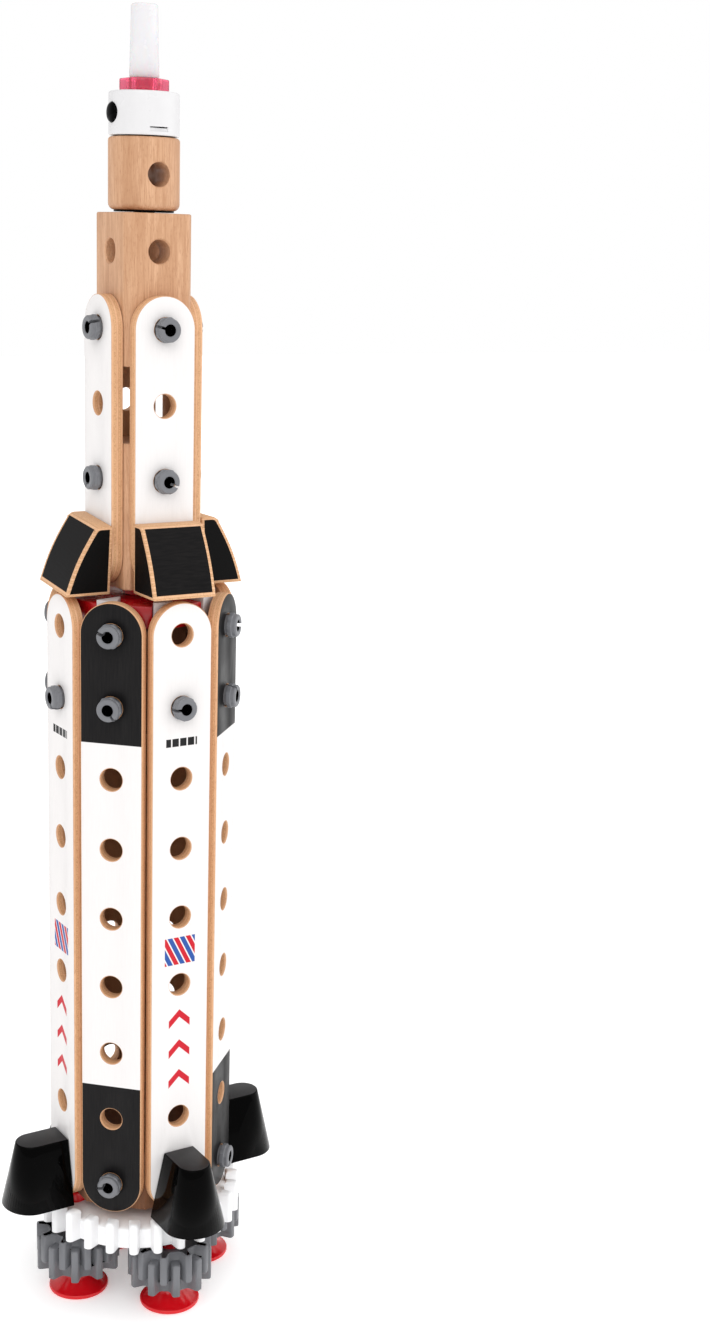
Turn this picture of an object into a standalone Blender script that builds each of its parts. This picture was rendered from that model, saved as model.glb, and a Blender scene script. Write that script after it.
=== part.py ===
"""Construction-set moon rocket: drilled wooden strips and blocks on a ring of plastic gears.

Metres, +Z up.  The rocket's axis is the Z axis and the four feet stand on z = 0.
-Y is the front.  Everything is laid out on one module, the hole pitch of the strips.
"""
from math import cos, pi, radians, sin

import bmesh
import bpy
from mathutils import Matrix, Vector

MM = 0.001

# ---------------------------------------------------------------- driving dimensions
PITCH = 30.0 * MM            # distance between holes, and the height of one block module
GAP = 0.3 * MM               # clearance wherever two pieces meet
FLOOR_TO_HOLE_9 = 61.0 * MM  # height of the lowest strip holes

STRIP_WIDTH = 26.4 * MM
STRIP_THICKNESS = 5.0 * MM
HOLE_RADIUS = 4.75 * MM
HOLE_SIDES = 8
LONG_HOLES = 9
SHORT_HOLES = 4
UNDRILLED_HOLE = 7           # counted from the top, on the four printed strips

BLOCK_HALF = 14.8 * MM
BLOCK_EDGE_ROUND = 2.5 * MM
TURNED_RADIUS = 14.2 * MM    # wooden cylinder block and the lamp on it
SHANK_RADIUS = 4.2 * MM      # pins, pegs and rivets that sit in the holes

GEAR_TEETH = 26
GEAR_TIP_RADIUS = 44.3 * MM
GEAR_ROOT_RADIUS = 38.9 * MM
GEAR_BOTTOM = 31.9 * MM
GEAR_RIM_TOP = 41.2 * MM
GEAR_TOOTH_TOP = 45.9 * MM
GEAR_DISH_TOP = 44.5 * MM
GEAR_HUB_TOP = 47.4 * MM
PINION_TEETH = 10
PINION_TIP_RADIUS = 18.3 * MM
PINION_ROOT_RADIUS = 13.4 * MM
FOOT_RADIUS = 13.0 * MM

# ---------------------------------------------------------------- derived places
EIGHTH = radians(45)
FACES = {"front": -90, "right": 0, "back": 90, "left": 180}
CORNERS = {"front_right": -45, "back_right": 45, "back_left": 135, "front_left": -135}

# Eight strips stand edge to edge with half a gap at each inner edge.
LONG_INNER = (GAP / 2 + STRIP_WIDTH / 2 * cos(EIGHTH / 2)) / sin(EIGHTH / 2)
LONG_OUTER = LONG_INNER + STRIP_THICKNESS
SHORT_INNER = BLOCK_HALF + GAP
SHORT_OUTER = SHORT_INNER + STRIP_THICKNESS


def level(steps):
    """Height of a hole that lies some modules above the lowest strip holes."""
    return FLOOR_TO_HOLE_9 + steps * PITCH


LONG_MIDDLE = level((LONG_HOLES - 1) / 2)
SHORT_MIDDLE = level(LONG_HOLES + (SHORT_HOLES - 1) / 2)
LOWER_BLOCK_MIDDLE = level(LONG_HOLES + 0.5)
UPPER_BLOCK_MIDDLE = level(LONG_HOLES + 3.5)
CYLINDER_HEIGHT = 29.0 * MM
CYLINDER_FOOT = level(LONG_HOLES + 4.5)
CYLINDER_MIDDLE = CYLINDER_FOOT + CYLINDER_HEIGHT / 2
LAMP_BOTTOM = CYLINDER_FOOT + CYLINDER_HEIGHT + GAP
LAMP_TOP = LAMP_BOTTOM + 16.7 * MM
NUT_TOP = LAMP_TOP + GAP + 4.7 * MM
TUBE_TOP = level(LONG_HOLES + 7) + 4.0 * MM

# ---------------------------------------------------------------- scene and materials
for old in list(bpy.data.objects):
    bpy.data.objects.remove(old, do_unlink=True)
PARTS = bpy.data.collections.new("moon_rocket")
CUTTERS = bpy.data.collections.new("cutters")
bpy.context.scene.collection.children.link(PARTS)
bpy.context.scene.collection.children.link(CUTTERS)


def material(name, colour, roughness, metallic=0.0):
    made = bpy.data.materials.new(name)
    made.use_nodes = True
    shader = made.node_tree.nodes["Principled BSDF"]
    shader.inputs["Base Color"].default_value = (*colour, 1.0)
    shader.inputs["Roughness"].default_value = roughness
    shader.inputs["Metallic"].default_value = metallic
    return made


BEECH = material("beech", (0.72, 0.47, 0.25), 0.55)
WHITE_PAINT = material("white_paint", (0.85, 0.85, 0.84), 0.35)
BLACK_PAINT = material("black_paint", (0.03, 0.03, 0.035), 0.4)
WHITE_PLASTIC = material("white_plastic", (0.82, 0.82, 0.82), 0.3)
GREY_PLASTIC = material("grey_plastic", (0.12, 0.13, 0.14), 0.45)
BLACK_PLASTIC = material("black_plastic", (0.01, 0.01, 0.01), 0.15)
RED_PLASTIC = material("red_plastic", (0.6, 0.02, 0.02), 0.3)
BOARD_GREEN = material("board_green", (0.03, 0.2, 0.08), 0.5)
CELL_STEEL = material("cell_steel", (0.6, 0.6, 0.6), 0.3, 1.0)


def place(name, mesh, finish, where=PARTS):
    """Put a mesh in the scene as a named object, flat shaded but for its gentle edges."""
    thing = bpy.data.objects.new(name, mesh)
    where.objects.link(thing)
    mesh.materials.clear()
    mesh.materials.append(finish)
    mesh.shade_smooth()
    mesh.set_sharp_from_angle(angle=radians(35))
    return thing


def finish_mesh(form, name):
    """Weld a bmesh, turn its faces outwards and hand it over as a mesh."""
    bmesh.ops.remove_doubles(form, verts=form.verts, dist=1e-6)
    bmesh.ops.recalc_face_normals(form, faces=form.faces)
    mesh = bpy.data.meshes.new(name)
    form.to_mesh(mesh)
    form.free()
    return mesh


def ring(radius, count, turn=0.0):
    """Points evenly spaced on a circle round the origin."""
    return [(radius * cos(turn + 2 * pi * k / count), radius * sin(turn + 2 * pi * k / count))
            for k in range(count)]


def arc(centre, radius, start, end, steps):
    """Points on an arc in a plane, from one angle in degrees to another."""
    angles = [radians(start + (end - start) * k / steps) for k in range(steps + 1)]
    return [(centre[0] + radius * cos(a), centre[1] + radius * sin(a)) for a in angles]


def plate_mesh(name, outline, holes, thickness):
    """A flat plate with holes: a filled 2D curve, extruded and made a closed mesh."""
    curve = bpy.data.curves.new(name, "CURVE")
    curve.dimensions = "2D"
    curve.fill_mode = "BOTH"
    curve.extrude = thickness / 2
    for loop in [outline, *holes]:
        spline = curve.splines.new("POLY")
        spline.points.add(len(loop) - 1)
        for point, (x, y) in zip(spline.points, loop):
            point.co = (x, y, 0.0, 1.0)
        spline.use_cyclic_u = True
    guide = bpy.data.objects.new(name, curve)
    CUTTERS.objects.link(guide)
    bpy.context.view_layer.update()
    flat = bpy.data.meshes.new_from_object(guide.evaluated_get(bpy.context.evaluated_depsgraph_get()))
    bpy.data.objects.remove(guide, do_unlink=True)
    form = bmesh.new()
    form.from_mesh(flat)
    return finish_mesh(form, name)


def turned_mesh(name, profile, segments):
    """A solid of revolution about Z from (radius, height) points.

    The profile starts and ends on the axis, or it is a closed loop beside the axis.
    """
    form = bmesh.new()
    points = [form.verts.new((radius, 0.0, height)) for radius, height in profile]
    edges = [form.edges.new(pair) for pair in zip(points, points[1:])]
    bmesh.ops.spin(form, geom=points + edges, cent=(0, 0, 0), axis=(0, 0, 1), angle=2 * pi,
                   steps=segments, use_merge=True)
    return finish_mesh(form, name)


def turned(name, profile, segments, finish):
    return place(name, turned_mesh(name, profile, segments), finish)


def rod(name, radius, bottom, top, segments, finish, where=PARTS):
    """An upright cylinder on the Z axis."""
    form = bmesh.new()
    bmesh.ops.create_cone(form, cap_ends=True, segments=segments, radius1=radius, radius2=radius,
                          depth=top - bottom, matrix=Matrix.Translation((0, 0, (top + bottom) / 2)))
    return place(name, finish_mesh(form, name), finish, where)


def block_mesh(name, size, edge_round=0.0):
    """A box on the origin, its upright edges rounded."""
    form = bmesh.new()
    bmesh.ops.create_cube(form, size=1.0, matrix=Matrix.Diagonal((*size, 1.0)))
    if edge_round:
        upright = [edge for edge in form.edges
                   if abs((edge.verts[0].co - edge.verts[1].co).z) > size[2] / 2]
        bmesh.ops.bevel(form, geom=upright, offset=edge_round, offset_type="OFFSET", segments=3,
                        profile=0.5, affect="EDGES", material=-1)
    return finish_mesh(form, name)


def face_out(thing, degrees, radius, height):
    """Turn a piece so that its own Z points away from the rocket's axis, and set it there."""
    angle = radians(degrees)
    thing.rotation_euler = (pi / 2, 0.0, angle + pi / 2)
    thing.location = (radius * cos(angle), radius * sin(angle), height)


def combine(target, tool, operation="DIFFERENCE"):
    """Cut a tool out of a piece, or join it on; the tool becomes a guide that isn't built."""
    change = target.modifiers.new(tool.name, "BOOLEAN")
    change.operation = operation
    change.solver = "EXACT"
    change.object = tool
    tool.hide_render = True
    tool.display_type = "WIRE"


def bore(target, radius, start, end, segments=10):
    """Drill a round hole between two points."""
    start, end = Vector(start), Vector(end)
    drill = rod(f"drill_{target.name}", radius, 0.0, (end - start).length, segments, GREY_PLASTIC, CUTTERS)
    drill.rotation_mode = "QUATERNION"
    drill.rotation_quaternion = Vector((0, 0, 1)).rotation_difference(end - start)
    drill.location = start
    combine(target, drill)


# ---------------------------------------------------------------- drilled strips
def strip_mesh(name, count, skip=None):
    """A strip with round ends and a row of holes, standing on its short end in its own XY."""
    half = (count - 1) * PITCH / 2
    end = STRIP_WIDTH / 2
    outline = arc((0, half), end, 0, 180, 8) + arc((0, -half), end, 180, 360, 8)
    holes = [[(x, y + half - k * PITCH) for x, y in ring(HOLE_RADIUS, HOLE_SIDES)]
             for k in range(count) if k + 1 != skip]
    return plate_mesh(name, outline, holes, STRIP_THICKNESS)


def make_strips():
    for side, degrees in FACES.items():
        long_strip = place(f"long_strip_{side}", strip_mesh("printed_strip", LONG_HOLES, UNDRILLED_HOLE),
                           WHITE_PAINT)
        face_out(long_strip, degrees, LONG_INNER + STRIP_THICKNESS / 2, LONG_MIDDLE)
        short_strip = place(f"short_strip_{side}", strip_mesh("short_strip", SHORT_HOLES), WHITE_PAINT)
        face_out(short_strip, degrees, SHORT_INNER + STRIP_THICKNESS / 2, SHORT_MIDDLE)
    for side, degrees in CORNERS.items():
        strip = place(f"long_strip_{side}", strip_mesh("banded_strip", LONG_HOLES), BLACK_PAINT)
        face_out(strip, degrees, LONG_INNER + STRIP_THICKNESS / 2, LONG_MIDDLE)


# ---------------------------------------------------------------- rivets
RIVET_HEAD_RADIUS = 5.5 * MM
RIVET_HEAD_HEIGHT = 4.3 * MM
RIVET_BORE_RADIUS = 2.6 * MM
RIVET_BORE_DEPTH = 3.5 * MM
RIVET_SHANK = 14.0 * MM      # reaches through the strip and into what is behind it


def make_rivet(name, degrees, radius, height):
    """A plastic rivet: a ring-shaped head on the strip, and a shank through it."""
    top = GAP + RIVET_HEAD_HEIGHT
    profile = [(0, -RIVET_SHANK), (SHANK_RADIUS, -RIVET_SHANK), (SHANK_RADIUS, GAP),
               (RIVET_HEAD_RADIUS, GAP), (RIVET_HEAD_RADIUS, top - 0.8 * MM),
               (RIVET_HEAD_RADIUS - 0.8 * MM, top), (RIVET_BORE_RADIUS, top),
               (RIVET_BORE_RADIUS, top - RIVET_BORE_DEPTH), (0, top - RIVET_BORE_DEPTH)]
    rivet = turned(name, profile, 8, GREY_PLASTIC)
    face_out(rivet, degrees, radius, height)


def make_rivets():
    for side, degrees in FACES.items():
        make_rivet(f"rivet_short_{side}_upper", degrees, SHORT_OUTER, level(LONG_HOLES + 3))
        make_rivet(f"rivet_short_{side}_lower", degrees, SHORT_OUTER, level(LONG_HOLES + 1))
    for side, degrees in CORNERS.items():
        make_rivet(f"rivet_long_{side}_upper", degrees, LONG_OUTER, level(LONG_HOLES - 1))
        make_rivet(f"rivet_long_{side}_lower", degrees, LONG_OUTER, level(0))


# ---------------------------------------------------------------- blocks and hubs
def make_block(name, middle):
    """A two-module square block, drilled across both ways at each module and up the middle."""
    block = place(name, block_mesh(name, (2 * BLOCK_HALF, 2 * BLOCK_HALF, 2 * PITCH - GAP),
                                   BLOCK_EDGE_ROUND), BEECH)
    block.location = (0, 0, middle)
    reach = BLOCK_HALF + 2 * MM
    for height in (middle - PITCH / 2, middle + PITCH / 2):
        bore(block, HOLE_RADIUS, (-reach, 0, height), (reach, 0, height))
        bore(block, HOLE_RADIUS, (0, -reach, height), (0, reach, height))
    bore(block, HOLE_RADIUS, (0, 0, middle - PITCH - MM), (0, 0, middle + PITCH + MM))


HUB_ARM_WIDTH = 14.0 * MM
HUB_ARM_REACH = 29.5 * MM
HUB_TOP = level(LONG_HOLES - 1) + 10.9 * MM
HUB_TURN = radians(-9)        # the arms don't point quite at the grooves
HUB_BOTTOM = level(LONG_HOLES - 2) - 14.0 * MM
HUB_WEB_TOP = HUB_TOP - 1.5 * MM
HUB_WEB_THICKNESS = 2.0 * MM


def star_outline():
    """Eight arms that point at the grooves between the strips."""
    half = HUB_ARM_WIDTH / 2
    valley = half / sin(EIGHTH / 2)
    points = []
    for k in range(8):
        turn = Matrix.Rotation((k + 0.5) * EIGHTH + HUB_TURN, 2)
        points += [tuple(turn @ Vector((HUB_ARM_REACH, -half))), tuple(turn @ Vector((HUB_ARM_REACH, half)))]
        angle = (k + 1) * EIGHTH + HUB_TURN
        points.append((valley * cos(angle), valley * sin(angle)))
    return points


def make_hubs():
    upper = place("upper_hub", plate_mesh("upper_hub", star_outline(), [ring(SHANK_RADIUS + GAP, 12)],
                                          HUB_TOP - HUB_BOTTOM), RED_PLASTIC)
    upper.location = (0, 0, (HUB_TOP + HUB_BOTTOM) / 2)
    web_reach = (HUB_ARM_REACH - 0.5 * MM) / cos(EIGHTH / 2)
    web = place("hub_web", plate_mesh("hub_web", ring(web_reach, 8, EIGHTH / 2), [ring(8 * MM, 12)],
                                      HUB_WEB_THICKNESS), RED_PLASTIC, CUTTERS)
    web.location = (0, 0, HUB_WEB_TOP - HUB_WEB_THICKNESS / 2)
    combine(upper, web, "UNION")
    for k in range(8):
        angle = k * EIGHTH
        out = Vector((cos(angle), sin(angle), 0))
        for height in (level(LONG_HOLES - 1), level(LONG_HOLES - 2)):
            lift = Vector((0, 0, height))
            bore(upper, SHANK_RADIUS + GAP, out * 22.5 * MM + lift, out * 34 * MM + lift)

    lower_top = level(0) + 14.0 * MM
    lower_bottom = GEAR_HUB_TOP + GAP
    lower = place("lower_hub", plate_mesh("lower_hub", ring((LONG_INNER - GAP) / cos(EIGHTH / 2), 8, EIGHTH / 2),
                                          [ring(SHANK_RADIUS + GAP, 12)], lower_top - lower_bottom), BEECH)
    lower.location = (0, 0, (lower_top + lower_bottom) / 2)
    for k in range(8):
        angle = k * EIGHTH
        out = Vector((cos(angle), sin(angle), 0))
        lift = Vector((0, 0, level(0)))
        bore(lower, SHANK_RADIUS + GAP, out * 22.5 * MM + lift, out * 34 * MM + lift)


def make_pins():
    """Plain pins that hold the stages on each other, and the bolt that the rocket turns on."""
    collar_bottom = HUB_TOP + GAP
    collar_top = LOWER_BLOCK_MIDDLE - PITCH - GAP
    turned("stage_pin", [(0, level(LONG_HOLES - 1) - 8 * MM), (SHANK_RADIUS, level(LONG_HOLES - 1) - 8 * MM),
                         (SHANK_RADIUS, collar_bottom), (8 * MM, collar_bottom), (8 * MM, collar_top),
                         (SHANK_RADIUS, collar_top), (SHANK_RADIUS, collar_top + 9 * MM),
                         (0, collar_top + 9 * MM)], 12, RED_PLASTIC)
    rod("cylinder_pin", SHANK_RADIUS, CYLINDER_FOOT - 9 * MM, CYLINDER_FOOT + 9 * MM, 12, GREY_PLASTIC)
    head_top = GEAR_BOTTOM - GAP
    turned("centre_bolt", [(0, head_top - 3.5 * MM), (7 * MM, head_top - 3.5 * MM), (8 * MM, head_top - 2.5 * MM),
                           (8 * MM, head_top), (SHANK_RADIUS, head_top), (SHANK_RADIUS, level(0) + 10 * MM),
                           (0, level(0) + 10 * MM)], 12, RED_PLASTIC)


# ---------------------------------------------------------------- curved wedges and engine fairings
WEDGE_TOP = 13.4 * MM        # above and below its peg
WEDGE_BOTTOM = -14.8 * MM
WEDGE_WIDTH = 27.5 * MM
WEDGE_SHOULDER = 5.0 * MM    # the flat top reaches this far out before it rounds over
WEDGE_TOP_DEPTH = 7.4 * MM
WEDGE_BOTTOM_DEPTH = 19.1 * MM
WEDGE_BULGE = 1.4 * MM
WEDGE_STEPS = 6
WEDGE_ROLLS = {"left": -0.1}  # one peg lets a wedge turn a little, and the left one has
PEG_LENGTH = 14.0 * MM


def peg(name, start, end):
    """A round peg along the local Z axis, to be joined to a piece's back."""
    return rod(name, SHANK_RADIUS, start, end, 10, GREY_PLASTIC, CUTTERS)


def make_wedge(name, degrees, roll):
    """A skirt block: flat back, flat sides, and a front that swells down and outwards."""
    corner = WEDGE_TOP - 1.2 * MM
    outline = [(0, WEDGE_BOTTOM), (0, WEDGE_TOP), (WEDGE_SHOULDER, WEDGE_TOP)]
    for k in range(WEDGE_STEPS + 1):
        t = k / WEDGE_STEPS
        depth = WEDGE_TOP_DEPTH + (WEDGE_BOTTOM_DEPTH - WEDGE_TOP_DEPTH) * t + WEDGE_BULGE * sin(pi * t)
        outline.append((depth, corner + (WEDGE_BOTTOM - corner) * t))
    shape = plate_mesh(name, outline, [], WEDGE_WIDTH)
    shape.transform(Matrix.Rotation(pi / 2, 4, "X"))
    shape.transform(Matrix.Rotation(roll, 4, "X"))
    wedge = place(name, shape, BLACK_PAINT)
    angle = radians(degrees)
    wedge.rotation_euler = (0.0, 0.0, angle)
    start = SHORT_OUTER + GAP
    wedge.location = (start * cos(angle), start * sin(angle), level(LONG_HOLES))
    tail = peg(f"{name}_peg", -PEG_LENGTH, 3 * MM)
    face_out(tail, degrees, start, level(LONG_HOLES))
    combine(wedge, tail, "UNION")


FAIRING_TOP = 14.6 * MM      # above the lowest holes
FAIRING_BOTTOM = -13.2 * MM
FAIRING_WALL = 1.8 * MM


def fairing_loop(form, half_width, straight, reach, height):
    """A D-shaped ring of vertices: flat back, straight sides, elliptical front."""
    points = [(half_width, 0.0)]
    for k in range(13):
        a = pi * k / 12
        points.append((half_width * cos(a), straight + (reach - straight) * sin(a)))
    points.append((-half_width, 0.0))
    return [form.verts.new((x, height, z)) for x, z in points]


def make_fairing(name, degrees):
    """A tapered engine fairing, moulded as a shell that is open underneath."""
    form = bmesh.new()
    top = fairing_loop(form, 7.0 * MM, 14.0 * MM, 21.0 * MM, FAIRING_TOP)
    bottom = fairing_loop(form, 13.3 * MM, 15.5 * MM, 27.0 * MM, FAIRING_BOTTOM)
    loops = [[form.edges.new((loop[k], loop[(k + 1) % len(loop)])) for k in range(len(loop))]
             for loop in (top, bottom)]
    bmesh.ops.bridge_loops(form, edges=loops[0] + loops[1])
    bmesh.ops.contextual_create(form, geom=top)
    bmesh.ops.recalc_face_normals(form, faces=form.faces)
    lid = max(form.faces, key=lambda face: face.calc_center_median().y)
    if lid.normal.y < 0:
        bmesh.ops.reverse_faces(form, faces=form.faces)
    mesh = bpy.data.meshes.new(name)
    form.to_mesh(mesh)
    form.free()
    fairing = place(name, mesh, BLACK_PLASTIC)
    wall = fairing.modifiers.new("wall", "SOLIDIFY")
    wall.thickness = FAIRING_WALL
    wall.offset = -1.0
    wall.use_even_offset = True
    start = LONG_OUTER + GAP
    face_out(fairing, degrees, start, level(0))
    tail = peg(f"{name}_peg", -PEG_LENGTH, 1.0 * MM)
    face_out(tail, degrees, start, level(0))
    combine(fairing, tail, "UNION")


def make_side_pieces():
    for side, degrees in FACES.items():
        make_wedge(f"skirt_wedge_{side}", degrees, WEDGE_ROLLS.get(side, 0.0))
        make_fairing(f"engine_fairing_{side}", degrees)


# ---------------------------------------------------------------- gears and feet
def gear_outline(teeth, root, tip, root_width, tip_width, phase):
    """A gear's outline with straight-flanked teeth; the widths are half widths in metres."""
    points = []
    for k in range(teeth):
        middle = phase + 2 * pi * k / teeth
        for radius, half in ((root, -root_width), (tip, -tip_width), (tip, tip_width), (root, root_width)):
            turn = half / radius
            points.append((radius * cos(middle + turn), radius * sin(middle + turn)))
    return points


def make_large_gear():
    """The white base gear: a domed web inside a crown of tall teeth."""
    phase = radians(-133)
    gear = place("large_gear", plate_mesh("large_gear", gear_outline(
        GEAR_TEETH, GEAR_ROOT_RADIUS, GEAR_TIP_RADIUS, 3.3 * MM, 1.9 * MM, phase),
        [], GEAR_TOOTH_TOP - GEAR_BOTTOM), WHITE_PLASTIC)
    gear.location = (0, 0, (GEAR_TOOTH_TOP + GEAR_BOTTOM) / 2)
    above = GEAR_HUB_TOP + 5 * MM
    dish = place("gear_dish", turned_mesh("gear_dish", [
        (0, GEAR_DISH_TOP), (18 * MM, GEAR_DISH_TOP), (22 * MM, GEAR_DISH_TOP - 0.4 * MM),
        (30 * MM, GEAR_RIM_TOP + 1.8 * MM), (GEAR_ROOT_RADIUS - 0.5 * MM, GEAR_RIM_TOP),
        (39.5 * MM, GEAR_RIM_TOP), (39.5 * MM, above), (0, above)], 26), WHITE_PLASTIC, CUTTERS)
    combine(gear, dish)
    boss = rod("gear_boss", 14 * MM, GEAR_DISH_TOP - 2 * MM, GEAR_HUB_TOP, 24, WHITE_PLASTIC, CUTTERS)
    combine(gear, boss, "UNION")
    bore(gear, SHANK_RADIUS + GAP, (0, 0, GEAR_BOTTOM - MM), (0, 0, above), 12)
    for degrees in FACES.values():
        x, y = PITCH * cos(radians(degrees)), PITCH * sin(radians(degrees))
        bore(gear, SHANK_RADIUS + GAP, (x, y, GEAR_BOTTOM - MM), (x, y, above), 12)


PINION_LOW = (11.7 * MM, 26.5 * MM)
PINION_HIGH = (17.0 * MM, 30.3 * MM)
PINION_PHASES = {"front": -107, "left": -119, "right": -95, "back": -131}


def make_pinion(side):
    """A small gear of two stacked ten-tooth crowns, half a tooth apart."""
    phase = radians(PINION_PHASES[side])
    name = f"small_gear_{side}"

    def crown(label, span, turn, where):
        outline = gear_outline(PINION_TEETH, PINION_ROOT_RADIUS, PINION_TIP_RADIUS, 2.3 * MM, 1.7 * MM, turn)
        made = place(label, plate_mesh(label, outline, [], span[1] - span[0]), GREY_PLASTIC, where)
        made.location.z = (span[0] + span[1]) / 2
        return made

    gear = crown(name, PINION_LOW, phase, PARTS)
    upper = crown(f"{name}_crown", PINION_HIGH, phase + pi / PINION_TEETH, CUTTERS)
    x, y = PITCH * cos(radians(FACES[side])), PITCH * sin(radians(FACES[side]))
    for piece in (gear, upper):
        piece.location.x, piece.location.y = x, y
    combine(gear, upper, "UNION")
    bore(gear, SHANK_RADIUS + GAP, (x, y, PINION_LOW[0] - MM), (x, y, PINION_HIGH[1] + MM), 12)


def make_foot(side):
    """A wide-headed bolt: its head is the foot and its shank is the small gear's axle."""
    shoulder = PINION_LOW[0] - GAP
    end_bottom = GEAR_DISH_TOP - 0.4 * MM
    end_top = GEAR_HUB_TOP
    foot = turned(f"foot_bolt_{side}", [
        (0, 0), (FOOT_RADIUS - 0.8 * MM, 0), (FOOT_RADIUS, 0.9 * MM), (FOOT_RADIUS - 0.3 * MM, 1.8 * MM),
        (9.0 * MM, 4.6 * MM), (6.4 * MM, 6.8 * MM), (6.0 * MM, shoulder), (SHANK_RADIUS, shoulder),
        (SHANK_RADIUS, end_bottom), (5.2 * MM, end_bottom), (4.6 * MM, end_top), (0, end_top)], 16, RED_PLASTIC)
    angle = radians(FACES[side])
    foot.location = (PITCH * cos(angle), PITCH * sin(angle), 0)


# ---------------------------------------------------------------- cylinder block and lamp
LAMP_WALL = 1.6 * MM
BUTTON_HEIGHT = LAMP_BOTTOM + 8.4 * MM
BUTTON_RADIUS = 3.8 * MM
BUTTON_DEPTH = 2.4 * MM      # inside the lamp's outer face; it stays clear of the cell when pressed
BUTTON_DOME = 1.4 * MM
SLOT_HEIGHT = LAMP_BOTTOM + 2.3 * MM


def make_cylinder_block():
    half = (CYLINDER_HEIGHT - GAP) / 2
    edge = 1.5 * MM
    outer = TURNED_RADIUS
    block = turned("cylinder_block", [
        (0, CYLINDER_MIDDLE - half), (outer - edge, CYLINDER_MIDDLE - half),
        (outer, CYLINDER_MIDDLE - half + edge), (outer, CYLINDER_MIDDLE + half - edge),
        (outer - edge, CYLINDER_MIDDLE + half), (0, CYLINDER_MIDDLE + half)], 32, BEECH)
    bore(block, HOLE_RADIUS, (0, -outer - MM, CYLINDER_MIDDLE), (0, outer + MM, CYLINDER_MIDDLE), 12)
    bore(block, HOLE_RADIUS, (0, 0, CYLINDER_MIDDLE - PITCH), (0, 0, CYLINDER_MIDDLE + PITCH), 12)


def make_lamp():
    outer = TURNED_RADIUS - 0.2 * MM
    inner = outer - LAMP_WALL
    ceiling = LAMP_TOP - LAMP_WALL
    housing = turned("lamp_housing", [
        (3.2 * MM, LAMP_TOP), (outer - 0.8 * MM, LAMP_TOP), (outer, LAMP_TOP - 0.8 * MM),
        (outer, LAMP_BOTTOM), (inner, LAMP_BOTTOM), (inner, ceiling), (3.2 * MM, ceiling),
        (3.2 * MM, LAMP_TOP)], 24, WHITE_PLASTIC)
    bore(housing, BUTTON_RADIUS + GAP, (-outer - 2 * MM, 0, BUTTON_HEIGHT),
         (-inner + 2 * MM, 0, BUTTON_HEIGHT), 16)
    slot = place("lamp_slot_cutter", block_mesh("lamp_slot_cutter", (7.9 * MM, 8 * MM, 1.5 * MM)),
                 GREY_PLASTIC, CUTTERS)
    slot.location = (0, -outer, SLOT_HEIGHT)
    combine(housing, slot)

    cover_top = LAMP_BOTTOM + 1.4 * MM
    turned("lamp_base_cover", [
        (0, CYLINDER_MIDDLE + 5.5 * MM), (SHANK_RADIUS, CYLINDER_MIDDLE + 5.5 * MM), (SHANK_RADIUS, LAMP_BOTTOM),
        (inner - GAP, LAMP_BOTTOM), (inner - GAP, cover_top), (0, cover_top)], 24, GREY_PLASTIC)
    cell_bottom = cover_top + GAP
    cell_top = cell_bottom + 3.2 * MM
    rod("coin_cell", 10.0 * MM, cell_bottom, cell_top, 24, CELL_STEEL)
    board_bottom = cell_top + GAP
    board_top = board_bottom + 1.2 * MM
    turned("led_board", [(0, board_bottom), (9.4 * MM, board_bottom), (9.4 * MM, board_top),
                         (2.5 * MM, board_top), (2.5 * MM, LAMP_TOP + 0.5 * MM),
                         (1.5 * MM, LAMP_TOP + 1.8 * MM), (0, LAMP_TOP + 2.4 * MM)], 16, BOARD_GREEN)
    button = turned("lamp_button", [
        (0, -BUTTON_DEPTH), (BUTTON_RADIUS, -BUTTON_DEPTH), (BUTTON_RADIUS, BUTTON_DOME - 1.2 * MM),
        (3.0 * MM, BUTTON_DOME - 0.5 * MM), (1.6 * MM, BUTTON_DOME - 0.1 * MM), (0, BUTTON_DOME)],
        16, BLACK_PLASTIC)
    face_out(button, FACES["left"], outer, BUTTON_HEIGHT)

    nut = place("hex_nut", plate_mesh("hex_nut", ring(9.9 * MM, 6, radians(-85.7)), [ring(4.8 * MM, 16)],
                                      NUT_TOP - LAMP_TOP - GAP), RED_PLASTIC)
    nut.location = (0, 0, (NUT_TOP + LAMP_TOP + GAP) / 2)
    turned("light_tube", [
        (3.1 * MM, LAMP_TOP + 2 * GAP), (4.5 * MM, LAMP_TOP + 2 * GAP), (4.5 * MM, NUT_TOP + GAP),
        (5.9 * MM, NUT_TOP + GAP), (5.3 * MM, TUBE_TOP - 0.8 * MM), (4.5 * MM, TUBE_TOP), (0, TUBE_TOP),
    ] + [(0, TUBE_TOP - 6 * MM), (3.1 * MM, TUBE_TOP - 7 * MM), (3.1 * MM, LAMP_TOP + 2 * GAP)], 20, WHITE_PLASTIC)


make_strips()
make_rivets()
make_block("lower_block", LOWER_BLOCK_MIDDLE)
make_block("upper_block", UPPER_BLOCK_MIDDLE)
make_hubs()
make_pins()
make_side_pieces()
make_large_gear()
for face in FACES:
    make_pinion(face)
    make_foot(face)
make_cylinder_block()
make_lamp()
print("object height:", round(TUBE_TOP / MM, 1), "mm; outer face of the long strips:", round(LONG_OUTER / MM, 2))
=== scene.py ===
# %% [markdown]
# # A construction-set moon rocket
# Drilled plywood strips, beech blocks and plastic gears make a tall rocket with a lamp on top.
# The solids, their places and their joints are already packed as a fixed frame. This notebook
# gives every piece its finished shape and surface. All lengths are in metres and +Z is up.

# %% Load the frame
import random
from math import atan2, cos, pi, radians, sin, sqrt

import bmesh
import bpy
import numpy as np
from mathutils import Matrix, Vector


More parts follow.
